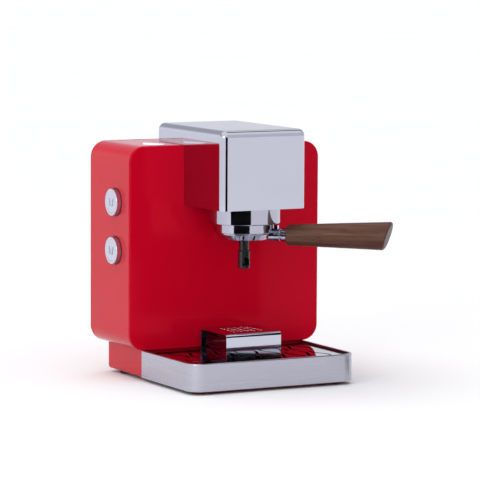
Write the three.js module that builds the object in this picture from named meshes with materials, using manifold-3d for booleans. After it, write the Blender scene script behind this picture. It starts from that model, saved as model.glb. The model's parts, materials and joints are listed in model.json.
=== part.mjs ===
// Compact pump espresso machine: rounded steel casing, chrome brewing head, portafilter,
// slide-out drip tray, lift-out water tank and two push buttons. Millimetres, +Z up.
// While it is drawn, x = 0 is the middle of the casing, y = 0 its front face (front towards -Y)
// and z = 0 the counter. The finished group is then moved so that its origin is the middle of its
// own footprint on the counter.

import * as THREE from 'three';
import { mergeVertices } from 'three/addons/utils/BufferGeometryUtils.js';
import Module from 'manifold-3d';

const wasm = await Module();
wasm.setup();

// ---------------------------------------------------------------- driving dimensions

const GAP = 0.3;                 // air left between touching pieces
const CASE_HALF = 130;           // half the casing's width
const CASE_DEPTH = 112;
const CASE_LOW = 37.8;
const CASE_HIGH = 286.4;
const CASE_RADIUS = 20;          // casing's corners, seen from the front
const CASE_WALL = 2;
const PANEL = 3;                 // front plate and rear cover
const PANEL_EDGE = 2;            // rounding of their outer edges

const BASE_HALF = 111.8;         // plinth and drip tray share one width
const BASE_FRONT = 5;            // where the tray ends and the plinth starts
const BASE_BACK = 103.5;
const BASE_WALL = 1.8;
const BASE_LOW = 4.2;
const BASE_HIGH = 37.5;
const PLATE_LOW = 2.4;           // painted floor under plinth and tray
const PLATE_HIGH = 3.9;
const PLATE_INSET = 8;

const TRAY_FRONT = -130.7;
const TRAY_RADIUS = 18;
const TRAY_WALL = 1.6;
const TRAY_RIM = 3.2;
const TRAY_HIGH = 37.6;
const PAN_HIGH = 33.6;
const PAN_LEDGE = 6;
const DRIP_PLATE = 1.2;          // thickness of the slotted plate

const RISER_HALF = 37.4;
const RISER_FRONT = -75;
const RISER_BACK = -7;
const RISER_HIGH = 62.4;
const RISER_SHEET = 1.5;
const RISER_BEND = 4.5;

const HEAD_HALF = 57.2;
const HEAD_FRONT = -100.3;
const HEAD_BACK = 75.7;
const HEAD_LOW = 213.5;
const HEAD_HIGH = 309.3;
const HEAD_SHEET = 1.5;
const HEAD_TOP_RADIUS = 12.5;
const HEAD_EDGE = 8.5;

const GROUP_Y = -48.5;           // vertical axis of the brewing group
const CABLE_Z = 271;             // height of the hole for hose and wires behind the head
const CABLE_RADIUS = 8;
const RING_RADIUS = 44;
const RING_LOW = 194;
const RING_HIGH = HEAD_LOW - GAP;
const RING_BORE = 37.4;
const GROOVE_RADIUS = 41.4;      // bayonet groove inside the ring
const GROOVE_LOW = 196.2;
const GROOVE_HIGH = 200.4;
const EAR_RADIUS = 40.8;
const EAR_SWEEP = 36;            // degrees taken by one bayonet ear
const UNLOCK_ANGLE = 60;         // turn from locked to the entry notches, degrees

const CUP_RADIUS = 36.6;         // portafilter
const CUP_LOW = 174;
const CUP_HIGH = 199.8;
const CUP_STEP = 183;            // height where the cup narrows to its lower band
const BASKET_RADIUS = 30.6;
const HANDLE_ANGLE = 42;         // handle's direction from +X towards the front, degrees
const HANDLE_TILT = 1.1;         // rise of the handle, degrees
const HANDLE_Z = 180.3;
const HANDLE_START = 53.5;        // distance of the grip's ends from the group's axis
const HANDLE_END = 178;
const HANDLE_THIN = 12.45;       // grip's radius at its start
const HANDLE_THICK = 17;         // grip's radius at its end
const HANDLE_SLANT = 18;         // lean of the end face, degrees
const SPOUT_LOW = 138.3;

const BUTTON_RADIUS = 16.5;
const BUTTON_Y = 40;
const BUTTON_HEIGHTS = { upper: 216.5, lower: 157.5 };
const BUTTON_PROUD = 6.5;
const BUTTON_TRAVEL = 2.5;

const LID_LEFT = -107.9;
const LID_RIGHT = -62.1;
const LID_FRONT = 8.6;
const HINGE_Y = 103;
const HINGE_Z = 284.4;
const BARREL = 2;                // radius of the lid's hinge barrel
const TANK_LEFT = -102;
const TANK_RIGHT = -65;
const TANK_FRONT = 10.5;
const TANK_BACK = 102.8;
const TANK_LOW = 58;
const TANK_HIGH = 281;
const TANK_WALL = 2;
const OUTLET = [-83.5, 56];      // x and y of the tank's valve

const PUMP_Y = 58;
const PUMP_Z = 74;
const INLET = [84, 72];          // x and z of the mains socket
const INLET_HALF = [13.5, 9.8];

// ---------------------------------------------------------------- geometry helpers

const radians = (degrees) => THREE.MathUtils.degToRad(degrees);

function solid(geometry) {
  const bare = geometry.clone();
  bare.deleteAttribute('normal');
  bare.deleteAttribute('uv');
  const merged = mergeVertices(bare, 1e-4);
  const index = merged.index.array;
  const kept = [];
  for (let i = 0; i < index.length; i += 3) {
    const [a, b, c] = [index[i], index[i + 1], index[i + 2]];
    if (a !== b && b !== c && c !== a) kept.push(a, b, c);
  }
  const vertProperties = new Float32Array(merged.attributes.position.array);
  const triVerts = new Uint32Array(kept);
  return new wasm.Manifold(new wasm.Mesh({ numProp: 3, vertProperties, triVerts }));
}

function geometryOf(manifold) {
  const mesh = manifold.getMesh();
  const geometry = new THREE.BufferGeometry();
  geometry.setAttribute('position', new THREE.BufferAttribute(mesh.vertProperties, 3));
  geometry.setIndex(new THREE.BufferAttribute(mesh.triVerts, 1));
  geometry.computeVertexNormals();
  return geometry;
}

function cut(base, ...tools) {
  return geometryOf(tools.reduce((rest, tool) => rest.subtract(solid(tool)), solid(base)));
}

function join(base, ...others) {
  return geometryOf(others.reduce((sum, other) => sum.add(solid(other)), solid(base)));
}

function common(base, ...others) {
  return geometryOf(others.reduce((rest, other) => rest.intersect(solid(other)), solid(base)));
}

function box(x0, x1, y0, y1, z0, z1) {
  const geometry = new THREE.BoxGeometry(x1 - x0, y1 - y0, z1 - z0);
  return geometry.translate((x0 + x1) / 2, (y0 + y1) / 2, (z0 + z1) / 2);
}

// Closed outline u0..u1 by v0..v1 whose corners have the radii
// [low left, low right, high right, high left].
function outline(u0, v0, u1, v1, radii) {
  const [a, b, c, d] = typeof radii === 'number' ? [radii, radii, radii, radii] : radii;
  const shape = new THREE.Shape();
  shape.moveTo(u0 + a, v0);
  shape.lineTo(u1 - b, v0);
  if (b) shape.absarc(u1 - b, v0 + b, b, -Math.PI / 2, 0, false);
  shape.lineTo(u1, v1 - c);
  if (c) shape.absarc(u1 - c, v1 - c, c, 0, Math.PI / 2, false);
  shape.lineTo(u0 + d, v1);
  if (d) shape.absarc(u0 + d, v1 - d, d, Math.PI / 2, Math.PI, false);
  shape.lineTo(u0, v0 + a);
  if (a) shape.absarc(u0 + a, v0 + a, a, Math.PI, Math.PI * 1.5, false);
  return shape;
}

function withHoles(shape, ...holes) {
  shape.holes.push(...holes);
  return shape;
}

function circle(u, v, radius) {
  const path = new THREE.Path();
  path.absarc(u, v, radius, 0, Math.PI, false);
  path.absarc(u, v, radius, Math.PI, Math.PI * 2, false);
  return path;
}

function extrude(shape, depth, curveSegments) {
  return new THREE.ExtrudeGeometry(shape, { depth, curveSegments, bevelEnabled: false });
}

function alongX(shape, x0, x1, curveSegments = 3) {
  const turn = new THREE.Matrix4().makeBasis(
    new THREE.Vector3(0, 1, 0), new THREE.Vector3(0, 0, 1), new THREE.Vector3(1, 0, 0));
  return extrude(shape, x1 - x0, curveSegments).applyMatrix4(turn).translate(x0, 0, 0);
}

function alongY(shape, y0, y1, curveSegments = 3) {
  return extrude(shape, y1 - y0, curveSegments).rotateX(Math.PI / 2).translate(0, y1, 0);
}

function alongZ(shape, z0, z1, curveSegments = 3) {
  return extrude(shape, z1 - z0, curveSegments).translate(0, 0, z0);
}

// Solid of revolution about +Z from [radius, height] pairs; closed on the axis or on itself.
function turned(profile, segments = 24) {
  const points = profile.map(([radius, height]) => new THREE.Vector2(radius, height));
  return new THREE.LatheGeometry(points, segments).rotateX(Math.PI / 2);
}

function rod(radius, z0, z1, segments = 16) {
  return turned([[0, z0], [radius, z0], [radius, z1], [0, z1]], segments);
}

function rodX(radius, x0, x1, y, z, segments = 16) {
  return rod(radius, x0, x1, segments).rotateY(Math.PI / 2).translate(0, y, z);
}

function rodY(radius, y0, y1, x, z, segments = 16) {
  return rod(radius, -y1, -y0, segments).rotateX(Math.PI / 2).translate(x, 0, z);
}

// Round tube through a list of points, smoothed between them.
function hose(points, radius, steps) {
  const path = new THREE.CatmullRomCurve3(points.map((point) => new THREE.Vector3(...point)));
  const section = new THREE.Shape();
  section.absarc(0, 0, radius, 0, Math.PI * 2, false);
  return new THREE.ExtrudeGeometry(section, { extrudePath: path, steps, curveSegments: 4 });
}

// Rounded plate facing +-Y whose outer edge alone is rounded.
function facePlate(y, outward, holes) {
  const inset = PANEL_EDGE;
  const half = CASE_HALF - inset;
  const low = CASE_LOW + inset;
  const high = CASE_HIGH - inset;
  const shape = outline(-half, low, half, high, CASE_RADIUS - inset);
  const geometry = new THREE.ExtrudeGeometry(shape, {
    depth: PANEL, bevelThickness: inset, bevelSize: inset, bevelSegments: 2, curveSegments: 3,
  });
  geometry.rotateX(Math.PI / 2);
  // The bevelled slab runs from -PANEL - inset to +inset; half of it is kept.
  const shift = outward < 0 ? y + PANEL + inset : y - inset;
  geometry.translate(0, shift, 0);
  const away = outward < 0 ? [y + PANEL, y + 40] : [y - 40, y - PANEL];
  return cut(geometry, box(-200, 200, away[0], away[1], 0, 400), ...holes);
}

// ---------------------------------------------------------------- materials

const paint = (color, roughness, metalness) =>
  new THREE.MeshStandardMaterial({ color, roughness, metalness });

const red = paint(0xb3001e, 0.3, 0.1);
const chrome = paint(0xc8cad4, 0.06, 1);
const brushed = paint(0xb0b1bf, 0.35, 1);
const galvanised = paint(0x9a9c9f, 0.5, 0.9);
const walnut = paint(0x5c3f34, 0.5, 0);
const endMetal = paint(0x8d8c92, 0.4, 0.9);
const blackPlastic = paint(0x1c1d20, 0.4, 0);
const rubber = paint(0x18181a, 0.85, 0);
const brass = paint(0xb08d4a, 0.35, 1);
const aluminium = paint(0xa9abae, 0.45, 0.9);
const clearPlastic = paint(0xcfd6da, 0.15, 0);
const silicone = paint(0xe6e2da, 0.5, 0);
const board = paint(0x1f5a35, 0.5, 0);
const steel = paint(0xbfc0c2, 0.25, 1);

// ---------------------------------------------------------------- assembly

const machine = new THREE.Group();

function add(name, geometry, material, parent = machine) {
  const mesh = new THREE.Mesh(geometry, material);
  mesh.name = name;
  parent.add(mesh);
  return mesh;
}

const corners = [[-1, -1], [1, -1], [-1, 1], [1, 1]];

// ---------------------------------------------------------------- casing

const bossOffset = (CASE_RADIUS - 5) * Math.SQRT1_2;
const bossX = CASE_HALF - CASE_RADIUS + bossOffset;
const bossHigh = CASE_HIGH - CASE_RADIUS + bossOffset;
const bossLow = CASE_LOW + CASE_RADIUS - bossOffset;

function bossPlaces() {
  return corners.map(([sideX, sideZ]) => [sideX * bossX, sideZ > 0 ? bossHigh : bossLow]);
}

function frontPanel() {
  const cableHole = rodY(CABLE_RADIUS, -5, 10, 0, CABLE_Z);
  return facePlate(0, -1, [cableHole]);
}

function bodyShell() {
  const shape = outline(-CASE_HALF, CASE_LOW, CASE_HALF, CASE_HIGH, CASE_RADIUS);
  const inner = outline(
    -CASE_HALF + CASE_WALL, CASE_LOW + CASE_WALL, CASE_HALF - CASE_WALL, CASE_HIGH - CASE_WALL,
    CASE_RADIUS - CASE_WALL);
  const front = PANEL + GAP;
  const back = CASE_DEPTH - PANEL - GAP;
  const wrap = alongY(withHoles(shape, inner), front, back);
  const bosses = bossPlaces().map(([x, z]) => rodY(5, back - 12, back, x, z, 10));
  const screwHoles = bossPlaces().map(([x, z]) => rodY(1.9, back - 10, back + 5, x, z, 8));
  const buttonHoles = Object.values(BUTTON_HEIGHTS)
    .map((z) => rodX(BUTTON_RADIUS + 0.6, -CASE_HALF - 5, -CASE_HALF + 5, BUTTON_Y, z, 28));
  const lidClear = 0.7;
  const lidOpening = box(
    LID_LEFT - lidClear, LID_RIGHT + lidClear, LID_FRONT - lidClear, HINGE_Y + BARREL + 1.1,
    CASE_HIGH - 8, CASE_HIGH + 8);
  return cut(join(wrap, ...bosses), ...screwHoles, ...buttonHoles, lidOpening);
}

function ventSlots() {
  const slots = [];
  for (const x of [-12, 24]) {
    for (let row = 0; row < 6; row += 1) {
      const z = 112 + row * 9;
      const shape = outline(x, z, x + 28, z + 3, 1.4);
      slots.push(alongY(shape, 100, 120, 1));
    }
  }
  return slots;
}

function rearCover() {
  const screwHoles = bossPlaces().map(([x, z]) => rodY(2.1, 100, 120, x, z, 10));
  const [inletX, inletZ] = INLET;
  const [halfX, halfZ] = INLET_HALF;
  const socket = box(
    inletX - halfX - GAP, inletX + halfX + GAP, 100, 120, inletZ - halfZ - GAP, inletZ + halfZ + GAP);
  return facePlate(CASE_DEPTH, 1, [...screwHoles, ...ventSlots(), socket]);
}

function rearScrew([x, z]) {
  const head = CASE_DEPTH + GAP;
  const profile = [
    [0, -head - 1.8], [2.4, -head - 1.8], [3.8, -head - 0.9], [3.8, -head], [1.5, -head],
    [1.5, -100], [0, -100],
  ];
  return turned(profile, 12).rotateX(Math.PI / 2).translate(x, 0, z);
}

add('front_panel', frontPanel(), red);
add('body_shell', bodyShell(), red);
add('rear_cover', rearCover(), red);
bossPlaces().forEach((place, i) => add(`rear_screw_${i + 1}`, rearScrew(place), steel));

// ---------------------------------------------------------------- plinth, floor and feet

function plinth() {
  const rearRadius = 8;
  const shape = outline(
    -BASE_HALF, BASE_FRONT, BASE_HALF, BASE_BACK, [0, 0, rearRadius, rearRadius]);
  const inner = outline(
    -BASE_HALF + BASE_WALL, BASE_FRONT + BASE_WALL, BASE_HALF - BASE_WALL, BASE_BACK - BASE_WALL,
    [0, 0, rearRadius - BASE_WALL, rearRadius - BASE_WALL]);
  return alongZ(withHoles(shape, inner), BASE_LOW, BASE_HIGH);
}

const footPlaces = [[-92, -108], [92, -108], [-97, 74], [97, 74]];

function basePlate() {
  const half = BASE_HALF - PLATE_INSET;
  const front = TRAY_RADIUS - PLATE_INSET;
  const shape = outline(
    -half, TRAY_FRONT + PLATE_INSET, half, BASE_BACK - PLATE_INSET, [front, front, 6, 6]);
  footPlaces.forEach(([x, y]) => shape.holes.push(circle(x, y, 3.3)));
  return alongZ(shape, PLATE_LOW, PLATE_HIGH);
}

function foot([x, y]) {
  const under = PLATE_LOW - GAP;
  const over = PLATE_HIGH + GAP;
  const profile = [
    [0, 0], [8.2, 0], [9, 0.6], [9, under], [2.9, under], [2.9, over], [4.1, over], [3, 5.4], [0, 5.4],
  ];
  return turned(profile, 12).translate(x, y, 0);
}

add('plinth', plinth(), red);
add('base_plate', basePlate(), red);
footPlaces.forEach((place, i) => add(`foot_${i + 1}`, foot(place), rubber));

// ---------------------------------------------------------------- drip tray

// U-shaped band, open at the back, of the given outer half width and width of material.
function trayBand(half, front, radius, width, back) {
  const shape = new THREE.Shape();
  const inner = radius - width;
  shape.moveTo(-half, back);
  shape.lineTo(-half, front + radius);
  shape.absarc(-half + radius, front + radius, radius, Math.PI, Math.PI * 1.5, false);
  shape.absarc(half - radius, front + radius, radius, -Math.PI / 2, 0, false);
  shape.lineTo(half, back);
  shape.lineTo(half - width, back);
  shape.absarc(half - radius, front + radius, inner, 0, -Math.PI / 2, true);
  shape.absarc(-half + radius, front + radius, inner, Math.PI * 1.5, Math.PI, true);
  shape.lineTo(-half + width, back);
  return shape;
}

function trayFascia() {
  const back = BASE_FRONT - GAP;
  const band = alongZ(
    trayBand(BASE_HALF, TRAY_FRONT, TRAY_RADIUS, TRAY_WALL, back), BASE_LOW, TRAY_HIGH - 0.8);
  const rim = alongZ(
    trayBand(BASE_HALF, TRAY_FRONT, TRAY_RADIUS, TRAY_RIM, back), TRAY_HIGH - 1.4, TRAY_HIGH);
  return join(band, rim);
}

const panInset = TRAY_WALL + GAP + 0.3;
const panHalf = BASE_HALF - panInset;
const panFront = TRAY_FRONT + panInset;
const panBack = BASE_FRONT - 2 * GAP;
const panFloor = 6.3;
const panCorner = TRAY_RADIUS - panInset;

function panOutline(inset) {
  const radius = panCorner - inset;
  return outline(
    -panHalf + inset, panFront + inset, panHalf - inset, panBack - inset,
    [radius, radius, 2, 2]);
}

function dripPan() {
  const body = alongZ(panOutline(0), panFloor, PAN_HIGH);
  const bowl = alongZ(panOutline(TRAY_WALL), panFloor + TRAY_WALL, PAN_HIGH - 1.6);
  const mouth = alongZ(panOutline(PAN_LEDGE), PAN_HIGH - 4, PAN_HIGH + 4);
  const runners = [-60, 56].map((x) => box(x, x + 4, -110, -4, BASE_LOW, panFloor + 1));
  return join(cut(body, bowl, mouth), ...runners);
}

const plateHalf = BASE_HALF - TRAY_RIM - 0.5;
const plateFront = TRAY_FRONT + TRAY_RIM + 0.5;
const plateBack = -0.8;        // clear of the casing, so that the plate lifts straight out
const plateLow = PAN_HIGH + GAP;
const plateHigh = plateLow + DRIP_PLATE;

// Long tapering wave running front to back, centred on x, y.
function ripple(x, y, length, swing, width) {
  const steps = 6;
  const edge = (sign) => {
    const points = [];
    for (let i = 0; i <= steps; i += 1) {
      const t = i / steps;
      const half = (width / 2) * Math.sqrt(Math.sin(Math.PI * (0.04 + 0.92 * t)));
      const wave = swing * Math.sin(Math.PI * 2 * t);
      points.push(new THREE.Vector2(x + wave - sign * half, y + length * (t - 0.5)));
    }
    return points;
  };
  return new THREE.Path([...edge(-1), ...edge(1).reverse()]);
}

function dripPlate() {
  const radius = TRAY_RADIUS - TRAY_RIM - 0.5;
  const shape = outline(-plateHalf, plateFront, plateHalf, plateBack, [radius, radius, 2, 2]);
  const pitch = 17;
  const length = 54;
  for (const [row, y] of [plateFront + 34, plateFront + 92].entries()) {
    for (let column = -5; column <= 5; column += 1) {
      const x = column * pitch + (row ? 3 : -3);
      const swing = column % 2 ? 4.2 : -4.2;
      shape.holes.push(ripple(x, y, length, swing, 4.2));
    }
  }
  return alongZ(shape, plateLow, plateHigh);
}

function cupRiser() {
  const foot = plateHigh + GAP;
  const bend = RISER_BEND;
  const inner = RISER_BEND - RISER_SHEET;
  const [front, back, high] = [RISER_FRONT, RISER_BACK, RISER_HIGH];
  const shape = new THREE.Shape();
  shape.moveTo(front, foot);
  shape.lineTo(front + RISER_SHEET, foot);
  shape.absarc(front + bend, high - bend, inner, Math.PI, Math.PI / 2, true);
  shape.absarc(back - bend, high - bend, inner, Math.PI / 2, 0, true);
  shape.lineTo(back - RISER_SHEET, foot);
  shape.lineTo(back, foot);
  shape.absarc(back - bend, high - bend, bend, 0, Math.PI / 2, false);
  shape.absarc(front + bend, high - bend, bend, Math.PI / 2, Math.PI, false);
  const sheet = alongX(shape, -RISER_HALF, RISER_HALF);
  const drains = [];
  const middle = (front + back) / 2;
  for (let column = -2; column <= 2; column += 1) {
    for (let row = -2; row <= 2; row += 1) {
      const size = 2.6 - 0.3 * Math.hypot(column, row);
      const drain = rod(size, high - 4, high + 4, 4);
      drains.push(drain.translate(column * 9, middle + row * 8.4, 0));
    }
  }
  return cut(sheet, ...drains);
}

add('tray_fascia', trayFascia(), brushed);
add('drip_pan', dripPan(), blackPlastic);
add('drip_plate', dripPlate(), chrome);
add('cup_riser', cupRiser(), chrome);

// ---------------------------------------------------------------- brewing head

// The head's outer form, or its hollow when it is shrunk by the thickness of the sheet.
function headForm(shrink) {
  const half = HEAD_HALF - shrink;
  const [front, back] = [HEAD_FRONT + shrink, HEAD_BACK - shrink];
  const high = HEAD_HIGH - shrink;
  const low = HEAD_LOW - 4 * shrink;
  const step = shrink ? CASE_HIGH - 2 : CASE_HIGH + GAP;
  const rear = shrink ? 2 : -GAP;
  const edge = HEAD_EDGE - shrink;
  const side = new THREE.Shape();
  side.moveTo(front, low);
  side.lineTo(rear, low);
  side.lineTo(rear, step);
  side.lineTo(back, step);
  side.absarc(back - edge, high - edge, edge, 0, Math.PI / 2, false);
  side.absarc(front + edge, high - edge, edge, Math.PI / 2, Math.PI, false);
  const top = HEAD_TOP_RADIUS - shrink;
  const face = outline(-half, low, half, high, [0, 0, top, top]);
  const plan = outline(-half, front, half, back, edge);
  return common(
    alongX(side, -half, half), alongY(face, front, back), alongZ(plan, low, high));
}

function headFloor() {
  const half = HEAD_HALF - HEAD_SHEET - GAP;
  const front = HEAD_FRONT + HEAD_SHEET + GAP;
  const corner = HEAD_EDGE - HEAD_SHEET;
  const shape = outline(-half, front, half, -GAP, [corner, corner, 0, 0]);
  shape.holes.push(circle(0, GROUP_Y, RING_BORE + 0.5));
  return alongZ(shape, HEAD_LOW, HEAD_LOW + HEAD_SHEET, 6);
}

function headFrame() {
  const low = HEAD_LOW + HEAD_SHEET + GAP;
  const shelf = outline(-50, -92, 50, -0.6, [10, 10, 0, 0]);
  shelf.holes.push(circle(0, GROUP_Y, RING_BORE + 0.5));
  const upright = box(-50, 50, -3.6, -0.6, low + 1, 281);
  const cableHole = rodY(CABLE_RADIUS, -10, 5, 0, CABLE_Z);
  return cut(join(alongZ(shelf, low, low + 3, 6), upright), cableHole);
}

// Flat wedge of a ring between two radii, centred on the given direction.
function sector(inner, outer, direction, sweep, z0, z1) {
  const start = radians(direction - sweep / 2);
  const end = radians(direction + sweep / 2);
  const shape = new THREE.Shape();
  shape.absarc(0, 0, outer, start, end, false);
  shape.absarc(0, 0, inner, end, start, true);
  return alongZ(shape, z0, z1, 3);
}

const earDirections = [90, -90];    // measured from the handle's direction

function groupRing() {
  const ring = turned([
    [RING_BORE, RING_LOW], [RING_RADIUS - 0.6, RING_LOW], [RING_RADIUS, RING_LOW + 0.6],
    [RING_RADIUS, RING_HIGH], [RING_BORE, RING_HIGH], [RING_BORE, GROOVE_HIGH],
    [GROOVE_RADIUS, GROOVE_HIGH], [GROOVE_RADIUS, GROOVE_LOW], [RING_BORE, GROOVE_LOW],
    [RING_BORE, RING_LOW],
  ], 32);
  const notches = earDirections.map((direction) => sector(
    RING_BORE - 2, GROOVE_RADIUS, direction - HANDLE_ANGLE - UNLOCK_ANGLE, EAR_SWEEP + 4,
    RING_LOW - 1, GROOVE_LOW + 0.5));
  return cut(ring, ...notches).translate(0, GROUP_Y, 0);
}

const gasketLow = 201.1;
const gasketHigh = 208;
const gasketInner = 29;
const blockLow = 202.7;
const screenRadius = 28.4;

function groupBody() {
  const shelf = HEAD_LOW + HEAD_SHEET + GAP + 3 + GAP;
  const screwHole = 2.3;
  const radius = RING_BORE - GAP;
  return turned([
    [0, 207], [screwHole, 207], [screwHole, blockLow], [screenRadius, blockLow],
    [screenRadius, gasketHigh + GAP], [radius, gasketHigh + GAP], [radius, shelf],
    [RING_RADIUS, shelf], [RING_RADIUS, shelf + 3.4], [0, shelf + 3.4],
  ]).translate(0, GROUP_Y, 0);
}

function gasket() {
  const outer = RING_BORE - 0.4;
  return turned([
    [gasketInner, gasketLow], [outer, gasketLow], [outer, gasketHigh], [gasketInner, gasketHigh],
    [gasketInner, gasketLow],
  ]).translate(0, GROUP_Y, 0);
}

function showerScreen() {
  return turned([
    [2.4, 200.4], [screenRadius - 0.8, 200.4], [screenRadius, 201], [screenRadius, 202.4],
    [2.4, 202.4], [2.4, 200.4],
  ], 24).translate(0, GROUP_Y, 0);
}

function showerScrew() {
  return turned([
    [0, 198.4], [2.6, 198.4], [3.6, 199.2], [3.6, 200.1], [2, 200.1], [2, 206.6], [0, 206.6],
  ], 12).translate(0, GROUP_Y, 0);
}

const boilerLow = HEAD_LOW + HEAD_SHEET + GAP + 3 + GAP + 3.4 + GAP;
const boilerHigh = 260;
const boilerRadius = 34;

function boilerBody() {
  const wall = 4;
  const inner = boilerRadius - wall;
  const floor = boilerLow + wall;
  return turned([
    [0, boilerLow], [boilerRadius, boilerLow], [boilerRadius, boilerHigh], [inner, boilerHigh],
    [inner, floor], [0, floor],
  ]).translate(0, GROUP_Y, 0);
}

function boilerCap() {
  const low = boilerHigh + GAP;
  return turned([
    [0, low], [boilerRadius + 2, low], [boilerRadius + 2, low + 5], [6, low + 5], [5, low + 10],
    [0, low + 10],
  ]).translate(0, GROUP_Y, 0);
}

// Band heater: one open turn about the boiler with both ends turned upwards.
function heatingElement() {
  const radius = boilerRadius + 4.6;
  const level = 238;
  const points = [];
  const first = radians(110);
  const last = radians(430);
  points.push([radius * Math.cos(first), radius * Math.sin(first) + GROUP_Y, level + 14]);
  for (let i = 0; i <= 10; i += 1) {
    const angle = first + ((last - first) * (i + 0.5)) / 11;
    points.push([radius * Math.cos(angle), radius * Math.sin(angle) + GROUP_Y, level]);
  }
  points.push([radius * Math.cos(last), radius * Math.sin(last) + GROUP_Y, level + 14]);
  return hose(points, 3.4, 24);
}

function thermostat(x) {
  const low = boilerHigh + 5 + 2 * GAP;
  const can = rod(7.5, low, low + 7, 16);
  const tabs = [-3, 3].map((y) => box(-2.5, 2.5, y - 0.4, y + 0.4, low + 6, low + 15));
  return join(can, ...tabs).translate(x, GROUP_Y + 14, 0);
}

add('head_cover', cut(headForm(0), headForm(HEAD_SHEET)), chrome);
add('head_floor', headFloor(), chrome);
add('head_frame', headFrame(), galvanised);
add('group_ring', groupRing(), chrome);
add('group_body', groupBody(), brass);
add('group_gasket', gasket(), rubber);
add('shower_screen', showerScreen(), steel);
add('shower_screw', showerScrew(), steel);
add('boiler_body', boilerBody(), aluminium);
add('boiler_cap', boilerCap(), brass);
add('heating_element', heatingElement(), steel);
add('brew_thermostat', thermostat(-20), blackPlastic);
add('thermal_fuse', thermostat(20), blackPlastic);

// ---------------------------------------------------------------- portafilter

// Drawn with its handle along +X and its axis on x = y = 0, then turned into place.
const portafilter = new THREE.Group();
portafilter.position.set(0, GROUP_Y, 0);
portafilter.rotation.z = -radians(HANDLE_ANGLE);
machine.add(portafilter);

const grip = new THREE.Group();
grip.position.set(HANDLE_START, 0, HANDLE_Z);
grip.rotation.y = -radians(HANDLE_TILT);
portafilter.add(grip);

const outletRadius = 4.2;
const rodRadius = 4;

function portafilterBody() {
  const inner = BASKET_RADIUS + 0.4;
  const groove = inner + 1.3;
  const floor = 181;
  const cup = turned([
    [outletRadius, CUP_LOW], [27.6, CUP_LOW], [30.2, CUP_LOW + 1.2], [33.6, 180.4], [34, CUP_STEP - 0.8],
    [CUP_RADIUS, CUP_STEP], [CUP_RADIUS, CUP_HIGH], [inner, CUP_HIGH], [inner, 192],
    [groove, 191.5], [groove, 190], [inner, 189.5], [inner, floor + 2], [28, floor],
    [9, 179.6], [outletRadius, 179.6], [outletRadius, CUP_LOW],
  ], 32);
  const ears = earDirections.map((direction) => sector(
    CUP_RADIUS - 1, EAR_RADIUS, direction, EAR_SWEEP, GROOVE_LOW + GAP, CUP_HIGH - GAP));
  const neckLength = HANDLE_START - GAP;
  const neck = rodX(7.8, CUP_RADIUS - 5, neckLength, 0, HANDLE_Z, 20);
  const fin = alongY(outline(38.4, HANDLE_Z, 42.4, RING_LOW - 1.2, [0, 0, 2, 2]), -4, 4, 2);
  const bore = rodX(rodRadius + 0.6, 42, neckLength + 5, 0, HANDLE_Z, 12);
  return cut(join(cup, ...ears, neck, fin), bore);
}

function filterBasket() {
  const outer = BASKET_RADIUS;
  const rim = 34.5;
  const high = CUP_HIGH + GAP;
  return turned([
    [0, 183.2], [outer - 1.6, 183.2], [outer, 185], [outer, high], [rim, high], [rim, high + 0.7],
    [outer - 0.8, high + 0.7], [outer - 0.8, 185.4], [outer - 2, 184], [0, 184],
  ]);
}

function basketSpring() {
  const radius = BASKET_RADIUS + 0.85;
  const points = [];
  for (let i = 0; i <= 16; i += 1) {
    const angle = radians(20 + (320 * i) / 16);
    points.push([radius * Math.cos(angle), radius * Math.sin(angle), 190.75]);
  }
  return hose(points, 0.4, 36);
}

function spout() {
  const pipe = 6.2;
  const tube = turned([
    [0, SPOUT_LOW], [6.7, SPOUT_LOW], [7.4, SPOUT_LOW + 1], [7.4, 159], [pipe, 161],
    [pipe, CUP_LOW - GAP], [3.8, CUP_LOW - GAP], [3.8, 178.6], [0, 178.6],
  ], 24);
  const bore = rod(2.4, 150, 190, 10);
  const mouth = rod(5.6, SPOUT_LOW - 2, 156, 16);
  const window = rodY(4.4, -12, 0, 0, 147.6, 14);
  const drop = box(-4.4, 4.4, -12, 0, 141.6, 147.6);
  return cut(tube, bore, mouth, join(window, drop));
}

const gripLength = HANDLE_END - HANDLE_START;
const slant = radians(HANDLE_SLANT);

// Cylinder square to the slanted end face, reaching from depth `from` to `to` below it.
function endDisc(radius, from, to) {
  const disc = rodX(radius, -to, -from, 0, 0, 28);
  return disc.scale(1, 1, 1 / Math.cos(slant)).rotateY(slant).translate(gripLength, 0, 0);
}

function gripForm() {
  const profile = [[0, 0], [HANDLE_THIN - 1.2, 0], [HANDLE_THIN, 1.2]];
  const steps = 5;
  for (let i = 1; i <= steps; i += 1) {
    const t = i / steps;
    profile.push([HANDLE_THIN + (HANDLE_THICK - HANDLE_THIN) * t ** 0.9, (gripLength + 6) * t]);
  }
  profile.push([HANDLE_THICK, gripLength + 12], [0, gripLength + 12]);
  return turned(profile, 24).rotateY(Math.PI / 2);
}

const capPocket = 1.7;
const capRim = 2.8;             // wood left round the end plate

function handleGrip() {
  const beyond = endDisc(60, -60, 0);
  const pocket = endDisc(HANDLE_THICK - capRim, -1, capPocket);
  const bore = rodX(rodRadius + GAP, -5, 45, 0, 0, 12);
  return cut(gripForm(), beyond, pocket, bore);
}

add('portafilter_body', portafilterBody(), chrome, portafilter);
add('filter_basket', filterBasket(), steel, portafilter);
add('basket_spring', basketSpring(), steel, portafilter);
add('spout', spout().rotateZ(radians(HANDLE_ANGLE - 7)), blackPlastic, portafilter);
add('handle', handleGrip(), walnut, grip);
add('handle_rod', rodX(rodRadius, -10.4, 44, 0, 0, 12), steel, grip);
add('handle_end_cap', endDisc(HANDLE_THICK - capRim - GAP, 0.1, capPocket - GAP), endMetal, grip);

// ---------------------------------------------------------------- buttons

const flangeLeft = -CASE_HALF + CASE_WALL + GAP;
const stemEnd = flangeLeft + 8.5;

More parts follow.
